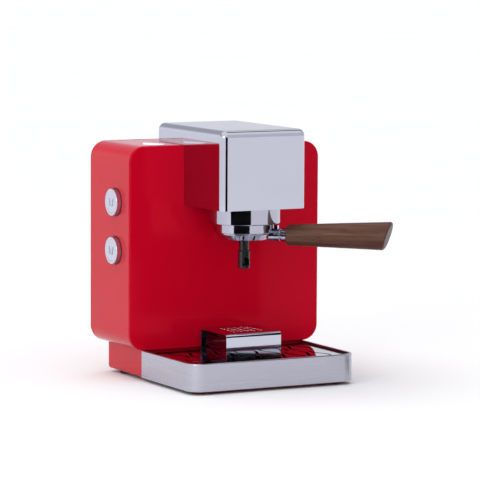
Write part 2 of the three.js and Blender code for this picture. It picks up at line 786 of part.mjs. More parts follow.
function button(z) {
  const left = -CASE_HALF - BUTTON_PROUD;
  const profile = [
    [0, left], [BUTTON_RADIUS - 0.6, left], [BUTTON_RADIUS, left + 0.6],
    [BUTTON_RADIUS, flangeLeft], [BUTTON_RADIUS + 2.3, flangeLeft],
    [BUTTON_RADIUS + 2.3, flangeLeft + 1.8], [5, flangeLeft + 1.8], [5, stemEnd], [0, stemEnd],
  ];
  return turned(profile, 24).rotateY(Math.PI / 2).translate(0, BUTTON_Y, z);
}

const switchLeft = stemEnd + BUTTON_TRAVEL + GAP;
const switchRight = -106;

function pushSwitch(z) {
  const body = box(switchLeft, switchRight, BUTTON_Y - 9, BUTTON_Y + 9, z - 11, z + 11);
  const tags = [-5, 5].map((shift) => box(
    switchRight - 6, switchRight - 5.2, BUTTON_Y + 8, BUTTON_Y + 17, z + shift - 2, z + shift + 2));
  return join(body, ...tags);
}

function switchBracket() {
  const left = switchRight + GAP;
  const low = BUTTON_HEIGHTS.lower - 25;
  const high = BUTTON_HEIGHTS.upper + 25;
  const web = box(left, left + 1.4, 5, 62, low, high);
  const flange = box(left - 12, left + 1, PANEL + GAP, PANEL + GAP + 1.7, low, high);
  return join(web, flange);
}

for (const [place, z] of Object.entries(BUTTON_HEIGHTS)) {
  add(`button_${place}`, button(z), chrome);
  add(`switch_${place}`, pushSwitch(z), blackPlastic);
}
add('switch_bracket', switchBracket(), galvanised);

// ---------------------------------------------------------------- water tank

const earSpans = [[-96, -90.4], [-76.6, -71]];
const barrelSpan = [-90, -77];
const pinHole = 1.1;

function waterTank() {
  const wall = TANK_WALL;
  const outside = alongZ(outline(TANK_LEFT, TANK_FRONT, TANK_RIGHT, TANK_BACK, 5), TANK_LOW, TANK_HIGH, 3);
  const inside = alongZ(
    outline(TANK_LEFT + wall, TANK_FRONT + wall, TANK_RIGHT - wall, TANK_BACK - wall, 3),
    TANK_LOW + wall, TANK_HIGH + 5, 3);
  const outlet = rod(5.2, TANK_LOW - 2, TANK_LOW + 5, 12).translate(...OUTLET, 0);
  const ears = earSpans.map(([x0, x1]) => join(
    box(x0, x1, HINGE_Y - BARREL, HINGE_Y + BARREL - 0.2, TANK_HIGH - 14, HINGE_Z),
    rodX(BARREL, x0, x1, HINGE_Y, HINGE_Z, 12)));
  const pins = rodX(pinHole, -100, -66, HINGE_Y, HINGE_Z, 8);
  return cut(join(cut(outside, inside, outlet), ...ears), pins);
}

function tankLid() {
  const thickness = 1.8;
  const low = CASE_HIGH - thickness;
  const plate = box(LID_LEFT, LID_RIGHT, LID_FRONT, HINGE_Y, low, CASE_HIGH);
  const notches = earSpans.map(([x0, x1]) => box(
    x0 - 0.4, x1 + 0.4, HINGE_Y - 2 * BARREL, HINGE_Y + 5, low - 5, CASE_HIGH + 5));
  const barrel = rodX(BARREL, ...barrelSpan, HINGE_Y, HINGE_Z, 12);
  const skirt = box(TANK_LEFT + 6, TANK_RIGHT - 6, 20, 92, TANK_HIGH - 3, low + 0.5);
  const hollow = box(TANK_LEFT + 8, TANK_RIGHT - 8, 22, 90, TANK_HIGH - 6, low);
  const pins = rodX(pinHole, -100, -66, HINGE_Y, HINGE_Z, 8);
  return cut(join(cut(plate, ...notches), barrel, cut(skirt, hollow)), pins);
}

function tankValve() {
  return turned([
    [0, 50.5], [3.4, 50.5], [4.7, 52], [4.7, 60.3], [8.5, 60.3], [8.5, 62], [2, 64], [0, 64],
  ], 16).translate(...OUTLET, 0);
}

const barbX = [-62, -50];

function tankSocket() {
  const cup = turned([
    [0, 43], [8.6, 43], [8.6, 57.4], [5.2, 57.4], [5.2, 49.6], [0, 49.6],
  ], 20).translate(...OUTLET, 0);
  return join(cup, rodX(2.6, OUTLET[0] + 5, barbX[0], OUTLET[1], 46.5, 10));
}

function tankShelf() {
  const high = TANK_LOW - GAP;
  const top = alongZ(
    withHoles(outline(-112, 8, -66, 104, 0), circle(...OUTLET, 9.2)), high - 1.5, high);
  const legs = [8, 102.5].map((y) => box(-112, -66, y, y + 1.5, CASE_LOW + 2.5, high - 0.5));
  return join(top, ...legs);
}

function bayWall() {
  const sheet = box(-61.4, -59.9, 6, 106, CASE_LOW + 2.5, 278);
  return cut(sheet, rodX(5, -70, -50, OUTLET[1], 46.5, 12));
}

add('water_tank', waterTank(), clearPlastic);
add('tank_lid', tankLid(), red);
add('lid_pin', rodX(0.8, -95.6, -71.4, HINGE_Y, HINGE_Z, 8), steel);
add('tank_valve', tankValve(), blackPlastic);
add('tank_socket', tankSocket(), blackPlastic);
add('tank_shelf', tankShelf(), galvanised);
add('bay_wall', bayWall(), galvanised);

// ---------------------------------------------------------------- pump and hoses

const bracketEnds = [-6, 98];
const mountRadius = 15;

function pumpCoil() {
  const block = box(22, 62, PUMP_Y - 20, PUMP_Y + 20, PUMP_Z - 20, PUMP_Z + 20);
  return cut(block, rodX(10.3, 10, 80, PUMP_Y, PUMP_Z, 20));
}

function pumpFrame() {
  const outer = box(18.5, 65.5, PUMP_Y - 17, PUMP_Y + 17, PUMP_Z - 23.5, PUMP_Z + 23.5);
  const inner = box(21.7, 62.3, PUMP_Y - 30, PUMP_Y + 30, PUMP_Z - 20.3, PUMP_Z + 20.3);
  return cut(outer, inner, rodX(10.3, 10, 80, PUMP_Y, PUMP_Z, 20));
}

function pumpTube() {
  const profile = [
    [0, -18], [2.6, -18], [2.6, -9], [6, -9], [6, 4], [10, 8], [10, 84], [5, 88], [5, 101],
    [2.6, 101], [2.6, 112], [0, 112],
  ];
  return turned(profile, 16).rotateY(Math.PI / 2).translate(0, PUMP_Y, PUMP_Z);
}

function pumpMount(x, bore) {
  const wide = mountRadius;
  const neck = mountRadius - 2.6;
  return turned([
    [bore, x - 3], [wide, x - 3], [wide, x - 1], [neck, x - 1], [neck, x + 1], [wide, x + 1],
    [wide, x + 3], [bore, x + 3], [bore, x - 3],
  ], 12).rotateY(Math.PI / 2).translate(0, PUMP_Y, PUMP_Z);
}

function pumpBracket() {
  const [left, right] = bracketEnds;
  const low = CASE_LOW + CASE_WALL + 0.5;
  const base = box(left - 0.7, right + 0.7, PUMP_Y - 20, PUMP_Y + 20, low, low + 1.5);
  const ends = bracketEnds.map((x) => cut(
    box(x - 0.7, x + 0.7, PUMP_Y - 20, PUMP_Y + 20, low, PUMP_Z + 20),
    rodX(mountRadius - 2.2, x - 5, x + 5, PUMP_Y, PUMP_Z, 16)));
  return join(base, ...ends);
}

function reliefValve() {
  const block = box(-38, -18.4, PUMP_Y - 8, PUMP_Y + 8, PUMP_Z - 9, PUMP_Z + 12);
  const barb = rod(2.6, PUMP_Z + 10, PUMP_Z + 22, 10).translate(-28, PUMP_Y, 0);
  const cap = rodX(6, -46, -37, PUMP_Y, PUMP_Z, 12);
  return join(block, barb, cap);
}

function pressureHose() {
  const low = PUMP_Z + 22 + GAP;
  const cap = boilerHigh + GAP + 10 + GAP;
  return hose([
    [-28, PUMP_Y, low], [-28, PUMP_Y, low + 25], [-26, 56, 170], [-18, 50, 230], [-4, 34, 266],
    [0, 12, CABLE_Z], [0, -14, CABLE_Z], [0, -30, 277], [0, GROUP_Y + 7, 285], [0, GROUP_Y, 281],
    [0, GROUP_Y, cap],
  ], 2.6, 24);
}

function intakeHose() {
  const y = OUTLET[1];
  return hose([
    [barbX[0] + GAP, y, 46.5], [-52, y, 46.5], [-40, 72, 48], [-20, 88, 50], [30, 92, 52],
    [90, 90, 56], [122, 76, 66], [122, 60, PUMP_Z], [116, PUMP_Y, PUMP_Z],
    [112 + GAP, PUMP_Y, PUMP_Z],
  ], 3.2, 24);
}

add('pump_coil', pumpCoil(), blackPlastic);
add('pump_frame', pumpFrame(), galvanised);
add('pump_tube', pumpTube(), brass);
add('pump_mount_left', pumpMount(bracketEnds[0], 6.3), rubber);
add('pump_mount_right', pumpMount(bracketEnds[1], 5.3), rubber);
add('pump_bracket', pumpBracket(), galvanised);
add('relief_valve', reliefValve(), brass);
add('pressure_hose', pressureHose(), silicone);
add('intake_hose', intakeHose(), silicone);

// ---------------------------------------------------------------- electrics

function controlBoard() {
  const back = 100;
  const sheet = box(-50, 60, back - 1.6, back, 190, 262);
  const relays = [-40, -18].map((x) => box(x, x + 18, back - 17, back - 1, 200, 222));
  const transformer = box(14, 44, back - 25, back - 1, 200, 228);
  const terminals = box(-40, 40, back - 12, back - 1, 246, 256);
  const capacitor = rodY(6, back - 20, back - 1, 50, 240, 12);
  return join(sheet, ...relays, transformer, terminals, capacitor);
}

function powerInlet() {
  const [x, z] = INLET;
  const [halfX, halfZ] = INLET_HALF;
  const front = 86;
  const housing = box(x - halfX, x + halfX, front, CASE_DEPTH + 1, z - halfZ, z + halfZ);
  const flangeShape = outline(x - halfX - 4, z - halfZ - 3, x + halfX + 4, z + halfZ + 3, 3);
  const flange = alongY(flangeShape, CASE_DEPTH + GAP, CASE_DEPTH + 2.5, 3);
  const recess = box(x - 11.9, x + 11.9, front + 3, CASE_DEPTH + 10, z - 7.8, z + 7.8);
  const blades = [[0, 3.6], [-7, -2.4], [7, -2.4]].map(([dx, dz]) => box(
    x + dx - 1, x + dx + 1, front + 1, front + 19, z + dz - 2, z + dz + 2));
  return join(cut(join(housing, flange), recess), ...blades);
}

add('control_board', controlBoard(), board);
add('power_inlet', powerInlet(), blackPlastic);

// ---------------------------------------------------------------- origin under the footprint

machine.updateMatrixWorld(true);
const bounds = new THREE.Box3().setFromObject(machine, true);
const middle = bounds.getCenter(new THREE.Vector3());
machine.position.set(-middle.x, -middle.y, 0);

export default machine;
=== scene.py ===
"""Looks of a compact espresso machine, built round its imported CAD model.

Shapes are drawn in the machine's own millimetres: x = 0 is the middle of the casing, y = 0 its front
face (front towards -Y), z = 0 the counter. Every mesh is turned into the row frame's metres at the end.
"""

import json
import math

import bmesh
import bpy
from mathutils import Matrix, Vector


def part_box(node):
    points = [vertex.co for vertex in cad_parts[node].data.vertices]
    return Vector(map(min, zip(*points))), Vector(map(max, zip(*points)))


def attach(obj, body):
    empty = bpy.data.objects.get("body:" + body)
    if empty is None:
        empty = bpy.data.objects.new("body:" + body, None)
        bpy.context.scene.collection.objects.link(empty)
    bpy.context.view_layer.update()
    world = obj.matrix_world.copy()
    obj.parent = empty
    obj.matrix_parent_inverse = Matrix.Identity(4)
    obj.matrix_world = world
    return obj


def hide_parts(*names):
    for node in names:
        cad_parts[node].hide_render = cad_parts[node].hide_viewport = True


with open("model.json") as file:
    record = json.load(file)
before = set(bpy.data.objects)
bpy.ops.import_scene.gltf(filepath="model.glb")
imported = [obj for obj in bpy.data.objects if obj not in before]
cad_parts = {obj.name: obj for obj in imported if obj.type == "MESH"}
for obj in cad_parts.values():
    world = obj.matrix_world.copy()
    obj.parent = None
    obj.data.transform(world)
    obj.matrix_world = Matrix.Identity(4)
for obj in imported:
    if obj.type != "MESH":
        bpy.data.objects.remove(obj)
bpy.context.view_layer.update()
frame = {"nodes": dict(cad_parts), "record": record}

panel_low, panel_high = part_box("front_panel")
CASE_X = (panel_low.x + panel_high.x) / 2
CASE_Y = panel_low.y
TO_ROW = Matrix.Translation((CASE_X, CASE_Y, 0)) @ Matrix.Scale(0.001, 4)

# ---------------- sizes, in millimetres

CASE_HALF = 130
CASE_DEPTH = 112
CASE_LOW = 37.8
CASE_HIGH = 286.4
CASE_RADIUS = 20
CASE_WALL = 2
PANEL = 3

BASE_HALF = 111.8
BASE_FRONT = 5
BASE_BACK = 103.5
BASE_WALL = 1.8
BASE_LOW = 4.2
BASE_HIGH = 37.5

TRAY_FRONT = -130.7
TRAY_RADIUS = 18
TRAY_RIM = 3.2
TRAY_HIGH = 37.6
PLATE_LOW = 33.9
PLATE_HIGH = 35.1
PLATE_BACK = -0.8

RISER_HALF = 37.4
RISER_FRONT = -75
RISER_BACK = -7
RISER_HIGH = 62.4
RISER_LOW = 35.4
RISER_SHEET = 1.5
RISER_BEND = 4.5

HEAD_HALF = 57.2
HEAD_FRONT = -100.3
HEAD_BACK = 75.7
HEAD_LOW = 213.5
HEAD_HIGH = 309.3
HEAD_SHEET = 1.5
HEAD_TOP_RADIUS = 12.5
HEAD_EDGE = 8.5

GROUP_Y = -48.5
RING_RADIUS = 44
RING_BORE = 37.4
RING_LOW = 194
RING_HIGH = HEAD_LOW - 0.3
GROOVE_RADIUS = 41.4
GROOVE_LOW = 196.2
GROOVE_HIGH = 200.4
UNLOCK = math.radians(60)
EAR_RADIUS = 40.8
EAR_SWEEP = 36

CUP_RADIUS = 36.6
CUP_LOW = 174
CUP_STEP = 183
CUP_HIGH = 199.8
BASKET_RADIUS = 30.6
SPOUT_LOW = 138.3
HANDLE_ANGLE = math.radians(42)
HANDLE_TILT = math.radians(1.1)
HANDLE_Z = 180.3
HANDLE_START = 53.5
HANDLE_END = 178
HANDLE_THIN = 12.45
HANDLE_THICK = 17
HANDLE_SLANT = math.radians(18)

BUTTON_RADIUS = 16.5
BUTTON_Y = 40
BUTTON_HEIGHTS = {"upper": 216.5, "lower": 157.5}
BUTTON_PROUD = 6.5

LID_LEFT = -107.9
LID_RIGHT = -62.1
LID_FRONT = 8.6
HINGE_Y = 103
HINGE_Z = 284.4
EAR_SPANS = [(-96, -90.4), (-76.6, -71)]
BARREL_SPAN = (-90, -77)
PIN_HOLE = 1.1

SHARP = math.radians(32)

# ---------------- camera

CAMERA_YAW = math.radians(28.02)
CAMERA_PITCH = math.radians(5.98)
CAMERA_ROLL = math.radians(0.298)
CAMERA_TARGET = Vector((20.2, 0, 167.1))
CAMERA_DISTANCE = 3775.7
FOCAL_IN_FRAMES = 3074.3 / 480


def make_camera():
    sight = Vector((
        math.sin(CAMERA_YAW) * math.cos(CAMERA_PITCH),
        math.cos(CAMERA_YAW) * math.cos(CAMERA_PITCH),
        -math.sin(CAMERA_PITCH)))
    right = Vector((math.cos(CAMERA_YAW), -math.sin(CAMERA_YAW), 0))
    up = right.cross(sight)
    across = math.cos(CAMERA_ROLL) * right + math.sin(CAMERA_ROLL) * up
    over = -math.sin(CAMERA_ROLL) * right + math.cos(CAMERA_ROLL) * up
    turn = Matrix((across, over, -sight)).transposed()
    data = bpy.data.cameras.new("camera")
    data.sensor_width = 36
    data.lens = 36 * FOCAL_IN_FRAMES
    data.clip_start = 0.1
    data.clip_end = 100
    camera = bpy.data.objects.new("camera", data)
    camera.matrix_world = (
        Matrix.Translation(TO_ROW @ (CAMERA_TARGET - sight * CAMERA_DISTANCE)) @ turn.to_4x4())
    bpy.context.scene.collection.objects.link(camera)
    bpy.context.scene.camera = camera


make_camera()

# ---------------- node materials


class Nodes:
    """Short hand for a material's node tree."""

    def __init__(self, name):
        self.material = bpy.data.materials.new(name)
        self.material.use_nodes = True
        self.tree = self.material.node_tree
        self.shader = self.tree.nodes["Principled BSDF"]
        self.place = self.add("ShaderNodeTexCoord").outputs["Object"]

    def add(self, kind, **settings):
        node = self.tree.nodes.new(kind)
        for key, value in settings.items():
            setattr(node, key, value)
        return node

    def link(self, source, target):
        self.tree.links.new(source, target)

    def set(self, **values):
        for key, value in values.items():
            self.shader.inputs[key.replace("_", " ")].default_value = value

    def stretched(self, scale, turn=(0, 0, 0)):
        """Place turned first and then scaled, so that the stretch follows the turned axes."""
        turned = self.add("ShaderNodeMapping")
        turned.inputs["Rotation"].default_value = turn
        self.link(self.place, turned.inputs["Vector"])
        mapping = self.add("ShaderNodeMapping")
        mapping.inputs["Scale"].default_value = scale
        self.link(turned.outputs["Vector"], mapping.inputs["Vector"])
        return mapping.outputs["Vector"]

    def noise(self, scale, detail=2.0, rough=0.5, where=None, distortion=0.0):
        node = self.add("ShaderNodeTexNoise")
        node.inputs["Scale"].default_value = scale
        node.inputs["Detail"].default_value = detail
        node.inputs["Roughness"].default_value = rough
        node.inputs["Distortion"].default_value = distortion
        self.link(where or self.place, node.inputs["Vector"])
        return node.outputs["Fac"]

    def ramp(self, value, stops):
        node = self.add("ShaderNodeValToRGB")
        ramp = node.color_ramp
        while len(ramp.elements) < len(stops):
            ramp.elements.new(0.5)
        for element, (place, colour) in zip(ramp.elements, stops):
            element.position = place
            element.color = colour if len(colour) == 4 else (*colour, 1)
        self.link(value, node.inputs["Fac"])
        return node.outputs["Color"]

    def span(self, value, low, high, source=(0.3, 0.7)):
        node = self.add("ShaderNodeMapRange")
        node.inputs["From Min"].default_value = source[0]
        node.inputs["From Max"].default_value = source[1]
        node.inputs["To Min"].default_value = low
        node.inputs["To Max"].default_value = high
        self.link(value, node.inputs["Value"])
        return node.outputs["Result"]

    def math(self, operation, a, b):
        node = self.add("ShaderNodeMath", operation=operation)
        for socket, value in zip(node.inputs, (a, b)):
            if isinstance(value, (int, float)):
                socket.default_value = value
            else:
                self.link(value, socket)
        return node.outputs["Value"]

    def mix(self, factor, a, b, blend="MIX"):
        node = self.add("ShaderNodeMix", data_type="RGBA", blend_type=blend)
        for socket, value in ((node.inputs[0], factor), (node.inputs[6], a), (node.inputs[7], b)):
            if isinstance(value, (int, float)):
                socket.default_value = value
            elif isinstance(value, tuple):
                socket.default_value = (*value, 1) if len(value) == 3 else value
            else:
                self.link(value, socket)
        return node.outputs[2]

    def bump(self, height, strength, distance):
        node = self.add("ShaderNodeBump")
        node.inputs["Strength"].default_value = strength
        node.inputs["Distance"].default_value = distance
        self.link(height, node.inputs["Height"])
        self.link(node.outputs["Normal"], self.shader.inputs["Normal"])

    def rough(self, value):
        self.link(value, self.shader.inputs["Roughness"])

    def colour(self, value):
        self.link(value, self.shader.inputs["Base Color"])


def gloss_paint(name, colour, roughness):
    """Sprayed and lacquered steel: a faint orange peel and a slightly uneven gloss."""
    n = Nodes(name)
    n.set(IOR=1.45, Specular_Tint=(1, 0.08, 0.12, 1))
    dark = tuple(part * 0.95 for part in colour)
    n.colour(n.mix(n.span(n.noise(9, 3), 0, 1), colour, dark))
    n.rough(n.span(n.noise(35, 4), roughness * 0.85, roughness * 1.2))
    n.bump(n.noise(420, 2), 0.035, 0.0004)
    return n.material


def mirror_chrome(name, colour=(0.555, 0.565, 0.655), roughness=0.05):
    """Polished plating with a faint haze of wiping marks."""
    n = Nodes(name)
    n.set(Metallic=1.0)
    n.colour(n.mix(n.span(n.noise(14, 3), 0, 1), colour, tuple(part * 0.97 for part in colour)))
    haze = n.noise(60, 5, 0.6, n.stretched((1, 1, 5)))
    n.rough(n.span(haze, roughness * 0.6, roughness * 1.5))
    n.bump(n.noise(12, 1), 0.02, 0.0015)
    return n.material


def brushed(name, colour, roughness, along="x"):
    """Steel brushed along one direction."""
    n = Nodes(name)
    n.set(Metallic=1.0)
    scale = {"x": (4, 900, 900), "y": (900, 4, 900), "z": (900, 900, 4), "xy": (5, 5, 2600)}[along]
    grain = n.noise(1, 3, 0.6, n.stretched(scale))
    n.colour(n.mix(n.span(grain, 0, 1), colour, tuple(part * 0.93 for part in colour)))
    n.rough(n.span(grain, roughness * 0.85, roughness * 1.15))
    n.bump(grain, 0.05, 0.0003)
    return n.material


def moulded(name, colour, roughness, grain=1400, depth=0.1):
    """Moulded plastic or rubber with a fine spark-eroded grain."""
    n = Nodes(name)
    lighter = tuple(min(1, part * 1.25 + 0.002) for part in colour)
    n.colour(n.mix(n.span(n.noise(25, 4), 0, 1), colour, lighter))
    n.rough(n.span(n.noise(90, 3), roughness * 0.85, min(1, roughness * 1.15)))
    n.bump(n.noise(grain, 2), depth, 0.0003)
    return n.material


def cast_metal(name, colour, roughness):
    """Sand or die cast metal: pitted, with duller hollows."""
    n = Nodes(name)
    n.set(Metallic=1.0)
    pits = n.noise(260, 4, 0.6)
    n.colour(n.mix(n.span(pits, 0, 1), tuple(part * 0.72 for part in colour), colour))
    n.rough(n.span(pits, roughness * 1.2, roughness * 0.85))
    n.bump(pits, 0.35, 0.0004)
    return n.material


def walnut_wood(name):
    """Oiled walnut: straight streaks along the grip, soft darker bands and short open pores."""
    n = Nodes(name)
    n.set(IOR=1.42, Specular_IOR_Level=0.28)
    turn = (0, 0, HANDLE_ANGLE)
    streaks = n.noise(1, 4, 0.55, n.stretched((3.0, 240, 240), turn), 0.1)
    figure = n.noise(1, 2, 0.5, n.stretched((1.2, 70, 90), turn), 0.2)
    pores = n.noise(1, 2, 0.5, n.stretched((55, 1500, 1500), turn))
    base = n.ramp(streaks, [
        (0.25, (0.042, 0.015, 0.0085)), (0.45, (0.076, 0.030, 0.018)),
        (0.60, (0.106, 0.044, 0.027)), (0.78, (0.142, 0.064, 0.041))])
    dark = n.mix(n.span(figure, 0.0, 0.45, (0.40, 0.66)), base, (0.045, 0.016, 0.009))
    pitted = n.mix(n.span(pores, 0.0, 0.7, (0.60, 0.68)), dark, (0.022, 0.011, 0.008))
    n.colour(pitted)
    n.rough(n.span(streaks, 0.50, 0.36))
    n.bump(n.math("SUBTRACT", streaks, n.span(pores, 0, 1, (0.58, 0.68))), 0.14, 0.0005)
    return n.material


def clear_plastic(name):
    """Clear moulded plastic, faintly blue and a little scuffed."""
    n = Nodes(name)
    n.set(IOR=1.49, Transmission_Weight=0.92, Base_Color=(0.90, 0.95, 0.97, 1))
    n.rough(n.span(n.noise(45, 5), 0.05, 0.16))
    n.bump(n.noise(30, 2), 0.05, 0.001)
    return n.material


def solder_mask(name):
    """Green board with a faint pattern of copper tracks under its lacquer."""
    n = Nodes(name)
    tracks = n.noise(1, 1, 0.5, n.stretched((700, 60, 160)))
    n.colour(n.mix(n.span(tracks, 0, 1, (0.5, 0.52)), (0.012, 0.10, 0.035), (0.03, 0.17, 0.07)))
    n.rough(n.span(n.noise(120, 2), 0.28, 0.45))
    n.bump(tracks, 0.2, 0.0002)
    return n.material


def perforated_steel(name, spacing):
    """Steel sheet with a close grid of small round holes, drawn as near-black spots of painted shade."""
    n = Nodes(name)
    n.set(Metallic=1.0)
    cells = n.add("ShaderNodeTexVoronoi")
    cells.inputs["Scale"].default_value = 1 / spacing
    cells.inputs["Randomness"].default_value = 0
    n.link(n.place, cells.inputs["Vector"])
    # Near-black spots: painted shade standing in for the holes.
    painted_hole_shade = n.span(cells.outputs["Distance"], 1, 0, (0.20, 0.26))
    n.colour(n.mix(painted_hole_shade, (0.62, 0.62, 0.63), (0.01, 0.01, 0.01)))
    n.rough(n.span(n.noise(80, 3), 0.2, 0.35))
    return n.material


def floor_material():
    n = Nodes("studio_floor")
    n.set(Roughness=0.95, Specular_IOR_Level=0.0)
    n.colour(n.mix(n.span(n.noise(2.5, 2), 0, 1), (0.785, 0.785, 0.785), (0.775, 0.775, 0.78)))
    return n.material


def flag_material():
    n = Nodes("black_flag_cloth")
    n.set(Roughness=0.9, Specular_IOR_Level=0.0)
    n.colour(n.mix(n.span(n.noise(3, 2), 0, 1), (0.01, 0.01, 0.012), (0.012, 0.012, 0.014)))
    return n.material


RED = (0.50, 0.0006, 0.014)

looks = {
    "casing_red": gloss_paint("gloss_red_paint", RED, 0.14),
    "chrome": mirror_chrome("polished_chrome"),
    # Darker copy of the chrome for the group ring and portafilter cup: painted shade, standing in for the
    # dimmer reflections on them.
    "painted_shade_chrome": mirror_chrome("polished_chrome_with_painted_shade", (0.46, 0.46, 0.55), 0.08),
    # Brighter, bluer copy of the chrome for the buttons: painted sheen, standing in for the bluish light
    # their faces reflect.
    "painted_sheen_chrome": mirror_chrome("satin_chrome_with_painted_sheen", (0.60, 0.62, 0.74), 0.12),
    "brushed_steel": brushed("brushed_tray_steel", (0.50, 0.505, 0.58), 0.30, "xy"),
    "galvanised_steel": cast_metal("galvanised_sheet", (0.52, 0.53, 0.54), 0.45),
    "plain_steel": brushed("plain_steel", (0.60, 0.60, 0.61), 0.25, "xy"),
    "walnut": walnut_wood("oiled_walnut"),
    "grey_metal": brushed("satin_end_metal", (0.108, 0.088, 0.096), 0.45, "x"),
    "cast_aluminium": cast_metal("cast_aluminium", (0.60, 0.61, 0.62), 0.5),
    "brass": cast_metal("machined_brass", (0.60, 0.42, 0.18), 0.35),
    "black_plastic": moulded("black_plastic", (0.012, 0.012, 0.014), 0.36),
    "spout_plastic": moulded("glossy_black_plastic", (0.006, 0.006, 0.007), 0.24, 1400, 0.05),
    "clear_plastic": clear_plastic("clear_tank_plastic"),
    "rubber": moulded("black_rubber", (0.018, 0.018, 0.019), 0.75, 900, 0.2),
    "silicone": moulded("white_silicone", (0.70, 0.68, 0.63), 0.42, 500, 0.08),
    "circuit_board": solder_mask("green_solder_mask"),
    "shower_screen": perforated_steel("perforated_steel", 0.0022),
    "white_print": moulded("white_print", (0.80, 0.80, 0.82), 0.5, 600, 0.05),
    "engraving": moulded("engraved_grey", (0.24, 0.24, 0.29), 0.5, 900, 0.1),
    "studio_floor": floor_material(),
    "black_flag": flag_material(),
}

slot_of = {row["node"]: row["material_slot"] for row in frame["record"]["subparts"]}
for node, part in frame["nodes"].items():
    material = looks["shower_screen"] if node == "shower_screen" else looks[slot_of[node]]
    part.data.materials.clear()
    part.data.materials.append(material)

body_of_node = {
    node: body for body, members in frame["record"]["behaviour"]["bodies"].items() for node in members}

# ---------------- mesh helpers


def arc(x, y, radius, start, end, steps):
    """Points of an arc, angles in degrees."""
    angles = [math.radians(start + (end - start) * i / steps) for i in range(steps + 1)]
    return [(x + radius * math.cos(a), y + radius * math.sin(a)) for a in angles]


def rounded(u0, v0, u1, v1, radii, steps=12):
    """Closed outline, counter-clockwise, with radii [low left, low right, high right, high left]."""
    a, b, c, d = [radii] * 4 if isinstance(radii, (int, float)) else radii
    places = [
        (u0 + a, v0 + a, a, 180), (u1 - b, v0 + b, b, 270),
        (u1 - c, v1 - c, c, 0), (u0 + d, v1 - d, d, 90)]
    points = []
    for x, y, radius, start in places:
        points += arc(x, y, radius, start, start + 90, steps) if radius else [(x, y)]
    return points


AXES = {
    "x": lambda u, v, w: (w, u, v),
    "y": lambda u, v, w: (u, w, v),
    "z": lambda u, v, w: (u, v, w),
}


def prism(outline, axis, low, high):
    """Closed prism of an outline in the plane across axis."""
    bm = bmesh.new()
    place = AXES[axis]
    rings = [[bm.verts.new(place(u, v, w)) for u, v in outline] for w in (low, high)]
    bm.faces.new(rings[0])
    bm.faces.new(rings[1])
    count = len(outline)
    for i in range(count):
        j = (i + 1) % count
        bm.faces.new((rings[0][i], rings[0][j], rings[1][j], rings[1][i]))
    bmesh.ops.recalc_face_normals(bm, faces=bm.faces)
    return bm


def block(x0, x1, y0, y1, z0, z1):
    return prism([(x0, y0), (x1, y0), (x1, y1), (x0, y1)], "z", z0, z1)


def lathe(profile, segments=96, closed=False):
    """Turned form about +Z from (radius, height) points; radius 0 closes it on the axis."""
    bm = bmesh.new()
    rings = []
    for radius, height in profile:
        if radius < 1e-6:
            rings.append([bm.verts.new((0, 0, height))] * segments)
            continue
        turns = [2 * math.pi * i / segments for i in range(segments)]
        rings.append([bm.verts.new((radius * math.cos(t), radius * math.sin(t), height)) for t in turns])
    pairs = list(zip(rings, rings[1:]))
    if closed:
        pairs.append((rings[-1], rings[0]))
    for lower, upper in pairs:
        for i in range(segments):
            j = (i + 1) % segments
            corners = []
            for vert in (lower[i], lower[j], upper[j], upper[i]):
                if vert not in corners:
                    corners.append(vert)
            if len(corners) > 2:
                bm.faces.new(corners)
    bmesh.ops.recalc_face_normals(bm, faces=bm.faces)
    return bm


def soften(profile, radius, closed=False, steps=4):
    """The same polyline with its corners rounded; a corner may state its own radius as a third value."""
    points = [Vector(p[:2]) for p in profile]
    radii = [p[2] if len(p) > 2 else radius for p in profile]
    count = len(points)
    result = []
    for i, here in enumerate(points):
        if not closed and i in (0, count - 1):
            result.append(tuple(here))
            continue
        before, after = points[i - 1], points[(i + 1) % count]
        back, on = (before - here), (after - here)
        turn = math.pi - back.angle(on)
        if turn < 0.02 or radii[i] <= 0:
            result.append(tuple(here))
            continue
        room = min(radii[i] * math.tan(turn / 2), 0.49 * back.length, 0.49 * on.length)
        first = here + back.normalized() * room
        last = here + on.normalized() * room
        for step in range(steps + 1):
            t = step / steps
            point = first * (1 - t) ** 2 + here * 2 * t * (1 - t) + last * t ** 2
            result.append(tuple(point))
    return result


def sweep(path, section, closed=False):
    """Sweeps a closed section of (outward, up) along a level path of (x, y, outward x, outward y)."""
    bm = bmesh.new()
    rings = [
        [bm.verts.new((x + nx * out, y + ny * out, z)) for out, z in section] for x, y, nx, ny in path]
    pairs = list(zip(rings, rings[1:]))
    if closed:
        pairs.append((rings[-1], rings[0]))
    count = len(section)
    for a, b in pairs:
        for i in range(count):
            j = (i + 1) % count
            bm.faces.new((a[i], a[j], b[j], b[i]))
    if not closed:
        bm.faces.new(rings[0])
        bm.faces.new(rings[-1])
    bmesh.ops.recalc_face_normals(bm, faces=bm.faces)
    return bm


def tube(points, radius, sides=12):
    """Round tube along a list of 3-D points, with closed ends."""
    bm = bmesh.new()
    line = [Vector(p) for p in points]
    rings = []
    side = None
    for i, here in enumerate(line):
        ahead = line[min(i + 1, len(line) - 1)] - line[max(i - 1, 0)]
        ahead.normalize()
        if side is None:
            side = ahead.orthogonal().normalized()
        side = (side - ahead * side.dot(ahead)).normalized()
        other = ahead.cross(side)
        turns = [2 * math.pi * k / sides for k in range(sides)]
        rings.append([
            bm.verts.new(here + (side * math.cos(t) + other * math.sin(t)) * radius) for t in turns])
    for a, b in zip(rings, rings[1:]):
        for i in range(sides):
            j = (i + 1) % sides
            bm.faces.new((a[i], a[j], b[j], b[i]))
    bm.faces.new(rings[0])
    bm.faces.new(rings[-1])
    bmesh.ops.recalc_face_normals(bm, faces=bm.faces)
    return bm


def moved(bm, matrix):
    bmesh.ops.transform(bm, matrix=matrix, verts=bm.verts)
    return bm


